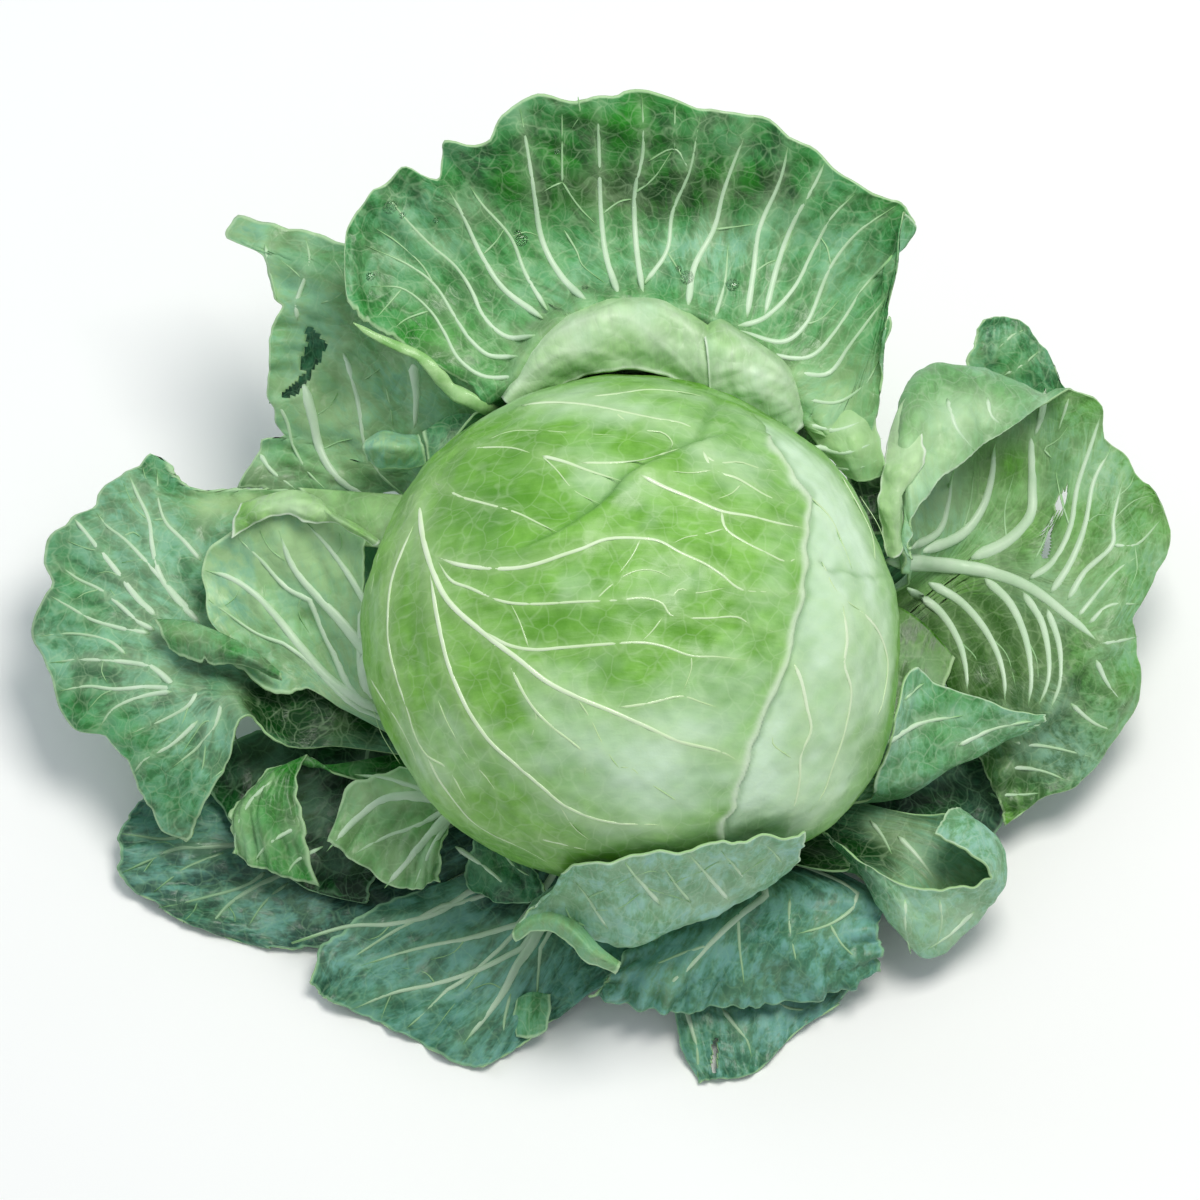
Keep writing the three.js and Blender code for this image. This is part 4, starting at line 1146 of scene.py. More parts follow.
grow("back", 11, (94, 30, 52, 4.5), BACK_RAILS, BACK_PAINT, BACK_RIBS, BACK_VEINS, (162, 142),
    rising=((60, 66), (100, 72)), covered=0.3, ragged=1.4, ruffle=(1.3, 8), rim=BACK_RIM,
    rolls=[((0.8, 2.6, 3.4), BACK_MARGIN)], scraps=[low_lobe, lip, right_lip, shaded_under_lip, shaded_gap],
    drops=BACK_DROPS, folds=BACK_FOLDS, open_share=0.35)


# The torn leaf behind on the left. It is partly under the great one, and its tip is curled over.
BACK_LEFT_RAILS = [
    [(-55, 90, 95), (-74, 114, 102), (-104, 146, 108), (-150, 158, 104)],
    [(-64, 79, 89), (-86, 98, 94), (-112, 124, 99), (-140, 130, 97)],
    [(-71, 68, 82), (-90, 82, 84), (-114, 103, 87), (-138, 108, 88)],
    [(-79, 58, 71), (-98, 66, 71), (-120, 76, 71), (-142, 80, 71)],
    [(-86, 51, 60), (-105, 49, 57), (-127, 50, 56), (-149, 54, 55)],
]
BACK_LEFT_RIBS = [
    (1.1, [(294, 316), (293, 299), (303, 270), (306, 255), (301, 232)]),
    (0.8, [(261, 240), (266, 268), (273, 297)]),
    (2.3, [(411, 362), (415, 392), (413, 428)]),
    (1.3, [(340, 350), (352, 383), (358, 413), (362, 440), (378, 472), (402, 493)]),
    (2.2, [(300, 382), (309, 415), (317, 449), (335, 477), (366, 496), (399, 506)]),
    (0.9, [(273, 398), (283, 419), (289, 443), (305, 471), (326, 491)]),
    (1.2, [(255, 452), (268, 470), (294, 489)]),
]
BACK_LEFT_VEINS = [
    (0.5, [(384, 386), (388, 404), (391, 424)]),
    (0.5, [(318, 300), (335, 292), (345, 280)]),
    (0.4, [(300, 275), (285, 262), (275, 255)]),
    (0.4, [(330, 255), (338, 268), (343, 285)]),
    (0.4, [(352, 383), (370, 372), (385, 360)]),
    (0.4, [(317, 449), (335, 440), (352, 436)]),
    (0.4, [(309, 415), (325, 405), (335, 390)]),
]
BACK_LEFT_RIM = [(345, 246), (325, 238), (305, 230), (290, 222), (276, 216), (262, 208), (247, 205),
    (239, 206), (228, 216), (219, 228), (226, 238), (240, 241), (254, 247), (262, 254), (265, 270),
    (268, 290), (272, 298), (279, 300), (273, 315), (266, 328), (265, 345), (265, 362), (262, 382),
    (264, 398), (271, 404), (270, 418), (277, 430), (283, 437), (258, 434), (255, 448), (247, 462),
    (236, 480), (230, 488)]
# The pale paint is partly painted light: it lifts the whole leaf, and its middle most, against the shadow
# of the great leaf over it.
BACK_LEFT_PAINT = {
    "dark": (
        0,
        [(290, 262, 16, 30, 0.25), (320, 238, 40, 12, 0.7), (400, 490, 60, 12, 0.7),
            (270, 475, 40, 16, 0.8), (245, 225, 18, 12, 0.3)],
    ),
    "wax": (
        0.55,
        [(395, 390, 40, 40, 0.4), (280, 300, 25, 40, 0.35), (235, 228, 20, 15, 0.5),
            (330, 470, 60, 20, -0.3)],
    ),
    "pale": (
        0.35,
        [(270, 280, 12, 30, 0.5), (340, 400, 60, 50, 0.35), (300, 340, 60, 60, 0.15),
            (240, 225, 16, 12, 0.4)],
    ),
}
CURL_PAINT = {
    "dark": (0, []),
    "wax": (0.9, [(385, 450, 20, 12, 0.3)]),
    "pale": (0.5, [(375, 440, 16, 8, 0.5)]),
}
SHADED_PAINT = {"dark": (0.55, []), "wax": (0.35, []), "pale": (0, [])}
BLUISH_CURL_ROWS = [
    [(364, 440, 98), (382, 430, 101), (402, 434, 101), (418, 434, 98)],
    [(361, 447, 105), (382, 445, 113), (402, 448, 113), (422, 446, 105)],
    [(366, 461, 98), (382, 468, 102), (402, 468, 102), (423, 462, 98)],
]
bluish_curl = scrap(BLUISH_CURL_ROWS, 221, CURL_PAINT)
SHADED_SCRAP_RIBS = [(0.5, [(430, 460), (448, 442), (470, 424)])]
SHADED_SCRAP_ROWS = [
    [(420, 432, 99), (448, 415, 101), (467, 413, 101), (490, 420, 98)],
    [(424, 448, 99), (446, 438, 102), (466, 430, 102), (484, 436, 98)],
    [(430, 476, 97), (442, 464, 99), (458, 452, 99), (474, 440, 97)],
]
shaded_scrap = scrap(SHADED_SCRAP_ROWS, 222, SHADED_PAINT, ribs=SHADED_SCRAP_RIBS)
BEHIND_HOLE_ROWS = [
    [(285, 312, 70), (335, 312, 70)],
    [(280, 360, 68), (340, 360, 68)],
    [(262, 402, 66), (325, 402, 66)],
]
behind_hole = scrap(BEHIND_HOLE_ROWS, 223, SHADED_PAINT, skins=(old_upper,) * 3)
BACK_LEFT_FOLDS = (
    ([(262, 250), (300, 262), (343, 300)], 2.5, 0, 10),
    ([(268, 404), (300, 380), (345, 345)], 2, 2, 10),
    ([(362, 352), (368, 400), (376, 450)], 2, 0, 10),
)
BACK_LEFT_BITES = (
    ([(313, 342), (310, 352), (307, 360)], 2.6),
    ([(305, 372), (292, 386), (280, 392)], 0.9),
    ([(304, 327), (313, 334)], 1.0),
)
grow("back_left", 21, (138, 28, 36, 13.5), BACK_LEFT_RAILS, BACK_LEFT_PAINT, BACK_LEFT_RIBS,
    BACK_LEFT_VEINS, (100, 120), rising=((50, 34),), ragged=1.6, ruffle=(1.4, 4), rim=BACK_LEFT_RIM,
    covered=None, scraps=[bluish_curl, shaded_scrap, behind_hole], bites=BACK_LEFT_BITES,
    folds=BACK_LEFT_FOLDS)


# The leaves on the left. The broad one hangs in a folded lobe on its lower side, with a narrow flap along
# its middle. A paler one is curled up inside it, and narrow ones fill the gap; the deepest is painted
# almost black, as painted shade. The lowest lies on the table.
LEFT_RAILS = [
    [(-97, 49, 76), (-112, 52, 76), (-142, 54, 69), (-166, 54, 64), (-176, 64, 60)],
    [(-102, 31, 68), (-124, 34, 66), (-154, 37, 63), (-178, 48, 62), (-198, 57, 58)],
    [(-104, 14, 62), (-128, 11, 58), (-160, 11, 58), (-188, 26, 58), (-219, 38, 50)],
    [(-106, -3, 56), (-128, -10, 52), (-163, -6, 56), (-195, 2, 54), (-226, 2, 44)],
    [(-108, -18, 51), (-130, -22, 48), (-164, -22, 57), (-192, -24, 50), (-216, -34, 38)],
    [(-110, -30, 48), (-132, -32, 47), (-158, -26, 60), (-178, -42, 49), (-198, -46, 34)],
    [(-111, -38, 46), (-131, -39, 47), (-150, -26, 62), (-165, -48, 50), (-182, -66, 30)],
    [(-112, -44, 45), (-128, -45, 47), (-144, -33, 61), (-154, -56, 47), (-167, -80, 22)],
]
LEFT_RIBS = [
    (1.5, [(197, 624), (175, 602), (156, 576), (148, 547), (144, 520), (130, 490), (122, 472)]),
    (1.1, [(197, 561), (178, 539), (161, 522), (153, 496), (151, 468)]),
    (1.2, [(194, 619), (165, 588), (141, 561), (117, 537), (102, 526), (90, 512)]),
    (1.6, [(152, 616), (136, 602), (117, 578), (95, 551), (75, 527), (66, 516)]),
    (1.2, [(151, 631), (134, 622), (117, 607), (95, 590), (70, 578), (50, 562)]),
    (1.1, [(146, 634), (117, 629), (85, 619), (62, 606), (44, 596)]),
    (1.4, [(175, 690), (156, 673), (146, 667), (124, 663), (100, 661), (73, 661), (44, 664)]),
    (0.9, [(122, 655), (105, 642), (68, 634), (34, 637)]),
    (1.2, [(175, 690), (146, 688), (112, 690), (83, 687), (54, 692)]),
    (1.1, [(170, 692), (141, 697), (112, 709), (96, 728)]),
    (1.1, [(195, 694), (187, 706), (165, 719), (125, 736)]),
    (1.0, [(222, 697), (214, 724), (196, 748), (170, 768)]),
    (1.0, [(197, 721), (170, 745), (141, 762), (131, 774)]),
]
LEFT_VEINS = [
    (0.5, [(148, 520), (158, 519), (161, 522)]),
    (0.5, [(117, 537), (128, 532), (135, 536)]),
    (0.4, [(141, 561), (135, 560), (117, 563)]),
    (0.4, [(100, 661), (98, 672), (104, 684)]),
    (0.4, [(117, 578), (104, 572), (90, 574)]),
    (0.4, [(117, 607), (110, 596), (105, 590)]),
    (0.4, [(95, 590), (80, 594), (70, 600)]),
    (0.4, [(112, 690), (98, 696), (84, 712)]),
    (0.4, [(187, 706), (178, 728), (160, 744)]),
    (0.4, [(214, 724), (204, 722), (192, 736), (178, 756)]),
    (0.4, [(204, 745), (200, 775), (190, 800)]),
    (0.4, [(222, 770), (208, 782), (198, 812)]),
    (0.4, [(144, 520), (130, 508), (117, 482)]),
    (0.4, [(153, 496), (140, 478), (136, 464)]),
    (0.4, [(95, 551), (80, 548), (60, 540)]),
]
LEFT_RIM = [(303, 490), (270, 489), (245, 489), (209, 488), (183, 485), (175, 477), (166, 466), (158, 458),
    (149, 454), (137, 459), (122, 468), (104, 482), (93, 495), (88, 508), (71, 511), (58, 522), (42, 536),
    (35, 553), (40, 569), (48, 580), (51, 588), (43, 593), (37, 606), (28, 619), (25, 638), (39, 652),
    (45, 670), (51, 688), (52, 713), (64, 728), (91, 734), (107, 736), (114, 751), (127, 759), (132, 780),
    (139, 792), (146, 812), (158, 830), (178, 845)]
# The two strong dark patches at the right, toward the head, are painted shade in the gap there, with the
# wax taken off.
LEFT_PAINT = {
    "dark": (
        0.22,
        [(120, 600, 60, 30, 0.25), (120, 690, 50, 40, 0.3), (200, 700, 10, 40, 0.4),
            (185, 668, 25, 10, 0.8), (62, 545, 20, 20, 0.25), (320, 720, 90, 36, 1.2),
            (270, 700, 60, 20, 0.8)],
    ),
    "wax": (
        0.75,
        [(150, 560, 50, 40, 0.3), (210, 740, 35, 50, 0.4), (70, 640, 40, 20, 0.3), (240, 500, 60, 15, -0.8),
            (55, 545, 15, 18, -0.5), (80, 700, 30, 15, -0.2), (320, 720, 90, 36, -0.9),
            (270, 700, 60, 20, -0.6)],
    ),
    "pale": (0.03, [(245, 502, 70, 14, 0.75), (200, 510, 20, 30, 0.4), (230, 720, 16, 40, 0.2)]),
}
FLAP_PAINT = {
    "dark": (0.15, [(250, 662, 40, 8, 0.4)]),
    "wax": (0.3, []),
    "pale": (0.1, [(180, 632, 25, 10, 0.35)]),
}
FINGER_ROWS = [
    [(148, 620, 61), (180, 621, 66), (205, 628, 69), (235, 642, 69), (258, 656, 67), (282, 677, 63)],
    [(156, 634, 64), (183, 636, 70), (207, 645, 73), (235, 655, 72), (258, 664, 69), (282, 679, 63)],
    [(166, 649, 60), (188, 660, 64), (208, 664, 66), (232, 665, 66), (256, 669, 64), (281, 681, 61)],
]
finger = scrap(FINGER_ROWS, 321, FLAP_PAINT, (60, 24), ragged=1.2, notches=((0.36, 2.5, 0.02),))
TOP_STRIP_PAINT = {"dark": (0, [(390, 535, 20, 12, 0.4)]), "wax": (0, []), "pale": (0.6, [])}
TOP_STRIP_ROWS = [
    [(296, 487, 84), (350, 491, 88), (408, 495, 90)],
    [(320, 515, 84), (360, 520, 88), (402, 522, 90)],
    [(350, 545, 82), (375, 548, 85), (392, 552, 86)],
]
top_strip = scrap(TOP_STRIP_ROWS, 322, TOP_STRIP_PAINT, (40, 24))
LEFT_FOLDS = (
    ([(160, 694), (176, 686), (196, 684), (222, 690), (243, 712), (240, 742), (226, 768)], 3, 5, 14),
    ([(190, 622), (160, 585), (140, 555)], 1.5, 0, 10),
    ([(60, 575), (90, 590), (130, 625)], -2, 0, 10),
)
grow("left", 31, (172, 28, 44, 8.5), LEFT_RAILS, LEFT_PAINT, LEFT_RIBS, LEFT_VEINS, (112, 122), ragged=1.6,
    ruffle=(1.2, 6), rim=LEFT_RIM, scraps=[finger, top_strip], lead_from=9, folds=LEFT_FOLDS)

INNER_RAILS = [
    [(-97, -22, 58), (-100, -4, 70), (-100, 19, 84), (-99, 37, 95)],
    [(-99, -25, 56), (-107, -4, 66), (-111, 22, 82), (-112, 45, 98)],
    [(-102, -27, 54), (-116, -7, 61), (-129, 15, 73), (-141, 43, 92)],
    [(-105, -29, 53), (-122, -13, 58), (-141, 2, 65), (-160, 21, 76)],
    [(-108, -30, 52), (-120, -23, 54), (-133, -24, 56), (-150, -13, 62)],
]
INNER_RIBS = [
    (2.4, [(366, 655), (340, 622), (315, 596), (291, 566), (277, 530)]),
    (2.2, [(364, 704), (330, 682), (299, 648), (274, 617), (250, 592), (226, 577), (202, 570)]),
    (1.3, [(308, 600), (284, 587), (260, 561), (236, 537)]),
    (0.9, [(282, 644), (255, 634), (228, 616), (206, 600)]),
    (1.5, [(366, 605), (345, 571), (325, 544), (305, 522)]),
]
INNER_VEINS = [
    (0.4, [(301, 594), (296, 610), (310, 640)]),
    (0.4, [(283, 560), (268, 548), (258, 530)]),
    (0.4, [(262, 584), (262, 600), (268, 612)]),
    (0.4, [(330, 615), (326, 602), (330, 590)]),
    (0.4, [(240, 585), (232, 598), (222, 606)]),
    (0.4, [(334, 555), (340, 545), (338, 532)]),
]
INNER_RIM = [(376, 543), (354, 528), (330, 512), (303, 504), (275, 506), (250, 514), (230, 530), (208, 546),
    (200, 562), (198, 575), (202, 590), (203, 612), (208, 625), (224, 638), (246, 648)]
INNER_PAINT = {
    "dark": (0, [(340, 650, 12, 40, 0.5), (250, 650, 50, 12, 0.4), (320, 690, 40, 10, 0.3)]),
    "wax": (0.6, [(240, 590, 40, 30, 0.3), (270, 670, 40, 20, 0.3), (320, 610, 30, 40, 0.1)]),
    "pale": (0.68, [(340, 560, 30, 30, 0.3), (300, 540, 60, 20, 0.3), (260, 660, 50, 25, -0.3)]),
}
CRISP_PAINT = {
    "dark": (0, []),
    "wax": (0.05, []),
    "pale": (0.55, [(240, 515, 15, 20, -0.5), (300, 510, 30, 8, 0.4)]),
}
TURNED_RIM_FOLDS = (
    ([(256, 498), (262, 522)], 2, 2, 6),
    ([(318, 498), (308, 520)], 2, 2, 6),
    ([(346, 520), (338, 534)], 1.5, 1, 5),
)
TURNED_RIM_ROWS = [
    [(238, 504, 90), (262, 496, 93), (292, 490, 96), (318, 499, 99), (330, 512, 101), (354, 524, 102),
        (380, 542, 101)],
    [(232, 522, 93), (258, 510, 98), (290, 504, 101), (318, 508, 103), (334, 518, 105), (356, 530, 105),
        (378, 544, 102)],
    [(228, 538, 90), (258, 521, 94), (290, 518, 97), (310, 522, 99), (334, 522, 101), (354, 533, 102),
        (374, 546, 100)],
]
turned_rim = scrap(TURNED_RIM_ROWS, 421, CRISP_PAINT, (90, 30), ragged=1.8, skins=(pale_fold,) * 3,
    folds=TURNED_RIM_FOLDS)
LEFT_INNER_FOLDS = (
    ([(355, 700), (330, 665), (312, 632), (300, 606)], -3, 0, 10),
    ([(300, 655), (262, 612), (215, 575)], 1.5, 0, 9),
)
grow("left_inner", 41, (182, 28, 34, 4.5), INNER_RAILS, INNER_PAINT, INNER_RIBS, INNER_VEINS, (90, 90),
    ragged=1.0, ruffle=(0.6, 3), rim=INNER_RIM, scraps=[turned_rim], folds=LEFT_INNER_FOLDS)

LOBE_RAILS = [
    [(-112, -51, 37), (-135, -53, 38), (-149, -66, 34), (-151, -84, 24)],
    [(-111, -53, 37), (-127, -50, 42), (-138, -66, 40), (-135, -92, 23)],
    [(-109, -55, 37), (-122, -48, 42), (-124, -70, 38), (-115, -99, 19)],
]
LOBE_RIBS = [
    (0.9, [(270, 782), (246, 806), (234, 836), (234, 857)]),
    (0.9, [(297, 827), (267, 845), (252, 863)]),
    (0.8, [(321, 848), (294, 863), (285, 875)]),
]
LOBE_PAINT = {
    "dark": (0, [(300, 780, 20, 30, 0.3)]),
    "wax": (0.1, []),
    "pale": (0.02, [(240, 830, 20, 40, 0.2)]),
}
grow("left_lobe", 51, (196, 24, 22, 11.3), LOBE_RAILS, LOBE_PAINT, LOBE_RIBS, cells=(50, 70), ragged=2,
    ruffle=(1.3, 3), covered=None)

LEFT_DEEP_RAILS = [
    [(-100, -30, 31), (-124, -34, 28), (-148, -40, 24), (-160, -60, 18)],
    [(-96, -47, 28), (-118, -58, 24), (-138, -70, 19), (-142, -84, 15)],
    [(-90, -61, 25), (-104, -75, 20), (-120, -90, 16), (-122, -98, 13)],
    [(-82, -73, 24), (-90, -87, 20), (-98, -99, 16), (-98, -104, 13)],
]
LEFT_DEEP_RIBS = [
    (1.5, [(322, 700), (312, 722), (307, 740)]),
    (1.4, [(370, 722), (366, 750), (362, 775)]),
    (1.0, [(200, 660), (215, 700), (240, 760)]),
    (1.0, [(232, 665), (246, 700), (262, 735)]),
    (0.8, [(268, 672), (280, 692), (290, 712)]),
]
# The leaf deep in the gap is painted almost black: painted shade, with two lighter spots.
DEEP_SHADE_PAINT = {
    "dark": (0.9, [(230, 690, 30, 40, -0.9), (262, 700, 20, 30, -0.7)]),
    "wax": (0.05, []),
    "pale": (0, []),
}
grow("left_deep", 61, (202, 24, 30, 14.4), LEFT_DEEP_RAILS, DEEP_SHADE_PAINT, LEFT_DEEP_RIBS, cells=(40, 50),
    ragged=2, ruffle=(0.6, 3), covered=None, skins=(old_upper, old_upper, leaf_edge), shade=0.5)

LOW_LEFT_RAILS = [
    [(-112, -64, 15), (-139, -63, 14), (-165, -60, 13), (-184, -62, 12)],
    [(-109, -75, 13), (-135, -75, 11), (-165, -75, 10), (-194, -77, 11)],
    [(-105, -86, 12), (-131, -88, 9), (-157, -90, 8), (-194, -92, 7)],
    [(-97, -95, 11), (-124, -103, 7), (-150, -107, 5), (-176, -107, 4)],
    [(-86, -104, 10), (-108, -117, 5), (-127, -121, 3), (-144, -119, 2)],
]
LOW_LEFT_RIBS = [
    (1.3, [(290, 872), (252, 890), (225, 908), (205, 932)]),
    (1.2, [(250, 846), (210, 849), (174, 851), (150, 860), (118, 876)]),
    (0.9, [(175, 840), (159, 842), (138, 839), (115, 836)]),
    (1.0, [(262, 875), (246, 887), (195, 902), (155, 910)]),
    (0.8, [(220, 856), (180, 872), (150, 895)]),
    (0.8, [(285, 886), (262, 905), (245, 930)]),
]
LOW_LEFT_VEINS = [
    (0.4, [(174, 851), (160, 845), (140, 850)]),
    (0.4, [(195, 902), (190, 915), (180, 925)]),
    (0.4, [(225, 908), (232, 920), (230, 935)]),
    (0.4, [(150, 860), (140, 875), (135, 890)]),
]
LOW_LEFT_PAINT = {
    "dark": (0.62, [(230, 870, 50, 20, 0.3)]),
    "wax": (0.6, [(160, 880, 40, 30, 0.2)]),
    "pale": (0, []),
}
grow("low_left", 71, (208, 26, 36, 17.5), LOW_LEFT_RAILS, LOW_LEFT_PAINT, LOW_LEFT_RIBS, LOW_LEFT_VEINS,
    (80, 90), ragged=2.2, ruffle=(0.9, 6), lead_from=1.1, skins=(old_upper, leaf_underside, leaf_edge),
    shade=0.55)


# The small pleated leaf at the front left, with thick pale ribs, and the small leaf under the front of the
# head.
PLEATED_RAILS = [
    [(-75, -54, 46), (-88, -52, 50), (-105, -58, 48), (-114, -82, 38)],
    [(-71, -58, 44), (-82, -64, 49), (-94, -75, 46), (-104, -87, 38)],
    [(-68, -62, 43), (-75, -73, 46), (-81, -86, 43), (-84, -98, 34)],
    [(-66, -66, 41), (-69, -77, 43), (-71, -86, 42), (-72, -94, 36)],
]
PLEATED_RIBS = [
    (1.2, [(453, 806), (414, 828), (384, 838), (351, 857)]),
    (2.2, [(452, 812), (429, 836), (408, 860), (384, 889)]),
    (1.3, [(452, 815), (432, 848), (414, 888)]),
    (2.4, [(447, 800), (415, 797), (384, 800), (354, 821), (326, 852)]),
    (1.3, [(429, 794), (404, 785), (384, 779), (354, 776)]),
]
PLEATED_PAINT = {
    "dark": (0, [(420, 845, 10, 20, 0.3)]),
    "wax": (0.2, []),
    "pale": (0.35, [(400, 790, 40, 10, 0.4)]),
}
PLEATED_FOLDS = (
    ([(440, 806), (400, 822), (345, 850)], -2.5, 0, 8),
    ([(446, 818), (410, 850), (392, 885)], -2, 0, 8),
)
grow("pleated", 81, (211, 20, 20, 4.8), PLEATED_RAILS, PLEATED_PAINT, PLEATED_RIBS, cells=(70, 70),
    ragged=2, ruffle=(1.6, 4), covered=None, folds=PLEATED_FOLDS)

FRONT_LEFT_RAILS = [
    [(-58, -74, 36), (-60, -82, 34), (-62, -90, 30), (-60, -98, 26)],
    [(-52, -80, 36), (-51, -88, 35), (-51, -96, 32), (-51, -102, 27)],
    [(-46, -84, 36), (-42, -91, 35), (-40, -96, 33), (-40, -103, 28)],
    [(-40, -87, 36), (-35, -91, 35), (-33, -95, 34), (-32, -100, 30)],
]
FRONT_LEFT_RIBS = [(1.1, [(455, 848), (489, 872), (512, 892)]), (0.7, [(500, 850), (515, 868), (535, 880)])]
FRONT_LEFT_PAINT = {"dark": (0.35, []), "wax": (0.3, []), "pale": (0, [])}
grow("front_left", 91, (238, 20, 20, 4.8), FRONT_LEFT_RAILS, FRONT_LEFT_PAINT, FRONT_LEFT_RIBS,
    cells=(40, 50), ragged=1.5, ruffle=(0.8, 3), covered=None, skins=(old_upper, leaf_underside, leaf_edge))


# The leaves in front. A broad one is spread flat, and a rolled one leans back on the head. A crumpled one
# rolls down towards the viewer, and two lobes of the lowest one hang out below.
BOTTOM_RAILS = [
    [(-62, -92, 21), (-90, -102, 17), (-112, -116, 13), (-122, -133, 8)],
    [(-45, -96, 22), (-67, -112, 17), (-90, -127, 11), (-111, -141, 5)],
    [(-32, -97, 22), (-45, -120, 17), (-64, -141, 10), (-86, -152, 2)],
    [(-21, -98, 22), (-32, -120, 17), (-45, -142, 11), (-60, -165, 2)],
    [(-11, -99, 21), (-21, -120, 16), (-32, -139, 11), (-41, -156, 5)],
    [(6, -102, 18), (1, -120, 13), (-8, -131, 11), (-19, -138, 8)],
]
BOTTOM_RIBS = [
    (2.2, [(541, 928), (530, 948), (516, 968), (504, 992), (483, 1020), (462, 1046)]),
    (1.4, [(522, 950), (480, 971), (435, 986), (390, 995), (350, 1011)]),
    (1.3, [(518, 926), (465, 941), (420, 950), (360, 968)]),
    (1.0, [(441, 908), (390, 935), (348, 962)]),
    (0.9, [(447, 992), (429, 1010), (406, 1030)]),
    (0.9, [(540, 950), (538, 970), (537, 998)]),
    (0.8, [(510, 995), (504, 1022), (504, 1046)]),
    (1.4, [(468, 894), (435, 915), (390, 926), (348, 928), (290, 945)]),
]
BOTTOM_VEINS = [
    (0.4, [(435, 986), (425, 975), (400, 970)]),
    (0.4, [(480, 971), (470, 985), (450, 1010), (430, 1036)]),
    (0.4, [(390, 995), (385, 1008), (380, 1022)]),
    (0.4, [(465, 941), (452, 955), (430, 962)]),
    (0.4, [(390, 926), (378, 938), (366, 942)]),
    (0.4, [(504, 992), (490, 985), (470, 992)]),
]
BOTTOM_PAINT = {
    "dark": (0.3, [(520, 905, 50, 14, 0.6), (330, 950, 30, 12, 0.3)]),
    "wax": (0.75, [(450, 1000, 60, 30, 0.2)]),
    "pale": (0, []),
}
BLUISH_LOBE_PAINT = {"dark": (0, []), "wax": (0.8, []), "pale": (0.1, [])}
BLUISH_LOBE_ROWS = [
    [(517, 1000, 12), (530, 994, 14), (549, 996, 12)],
    [(514, 1018, 10), (530, 1014, 14), (550, 1012, 11)],
    [(516, 1038, 6), (530, 1042, 7), (546, 1032, 7)],
]
bluish_lobe = scrap(BLUISH_LOBE_ROWS, 1021, BLUISH_LOBE_PAINT, (30, 24))
BOTTOM_FOLDS = (
    ([(541, 928), (512, 975), (470, 1036)], 1.5, 0, 10),
    ([(470, 910), (420, 935), (350, 962)], -2, 0, 10),
)
grow("bottom", 101, (248, 28, 40, 9), BOTTOM_RAILS, BOTTOM_PAINT, BOTTOM_RIBS, BOTTOM_VEINS, (120, 130),
    midrib=0.6, ragged=2.2, ruffle=(1.3, 6), scraps=[bluish_lobe],
    skins=(old_upper, leaf_underside, leaf_edge), shade=0.2, folds=BOTTOM_FOLDS)

FRONT_RAILS = [
    [(-37, -103, 44), (-43, -112, 54), (-39, -106, 66), (-29, -97, 76)],
    [(-25, -107, 46), (-22, -112, 60), (-22, -99, 78), (-22, -88, 99)],
    [(-6, -110, 48), (-4, -118, 62), (-4, -101, 84), (-6, -85, 108)],
    [(12, -110, 50), (13, -113, 65), (14, -97, 87), (15, -82, 111)],
    [(30, -106, 50), (32, -104, 67), (33, -91, 88), (34, -79, 111)],
    [(44, -99, 52), (51, -95, 70), (52, -85, 87), (52, -77, 105)],
    [(56, -90, 56), (62, -88, 74), (64, -82, 86), (66, -76, 98)],
]
FRONT_RIBS = [
    (1.0, [(660, 902), (645, 885), (634, 872), (623, 858)]),
    (1.1, [(728, 898), (714, 882), (702, 868), (686, 849)]),
    (0.9, [(752, 888), (740, 872), (732, 862), (720, 848)]),
    (0.9, [(608, 926), (596, 908), (588, 895), (577, 880)]),
    (0.7, [(690, 900), (674, 880), (660, 858)]),
    (0.7, [(780, 860), (772, 850), (764, 842)]),
    (0.4, [(634, 872), (655, 868), (674, 880)]),
    (0.4, [(674, 880), (690, 872), (702, 868)]),
    (0.4, [(588, 895), (610, 885), (634, 872)]),
    (0.4, [(702, 868), (720, 858), (732, 862)]),
    (0.4, [(596, 908), (620, 905), (640, 890)]),
    (0.4, [(645, 885), (668, 892), (690, 900)]),
    (0.4, [(566, 905), (572, 918), (590, 925)]),
    (0.4, [(740, 872), (755, 862), (772, 850)]),
]
FRONT_PAINT = {
    "dark": (0, [(640, 930, 60, 10, 0.3)]),
    "wax": (0.9, [(660, 875, 60, 20, 0.1)]),
    "pale": (0.25, [(700, 860, 80, 12, 0.25), (570, 900, 30, 20, 0.2)]),
}
NEAR_CURL_PAINT = {"dark": (0, []), "wax": (0.6, []), "pale": (0.45, [])}
NEAR_CURL_ROWS = [
    [(514, 929, 58), (530, 912, 62), (552, 907, 65), (578, 922, 66), (600, 946, 64), (622, 963, 58)],
    [(512, 935, 60), (530, 922, 66), (550, 918, 69), (573, 930, 70), (594, 952, 68), (620, 966, 60)],
    [(516, 941, 56), (532, 932, 60), (550, 930, 62), (568, 940, 63), (588, 960, 61), (616, 972, 56)],
]
near_curl = scrap(NEAR_CURL_ROWS, 1121, NEAR_CURL_PAINT, (60, 20), ragged=1)
FRONT_FOLDS = (([(560, 900), (600, 872), (680, 852), (780, 838)], 1.5, 0, 8),)
grow("front", 111, (274, 28, 40, 4.8), FRONT_RAILS, FRONT_PAINT, FRONT_RIBS, cells=(100, 90), ragged=1.2,
    ruffle=(0.8, 5), covered=None, scraps=[near_curl], skins=(leaf_underside, leaf_underside, leaf_edge),
    folds=FRONT_FOLDS)

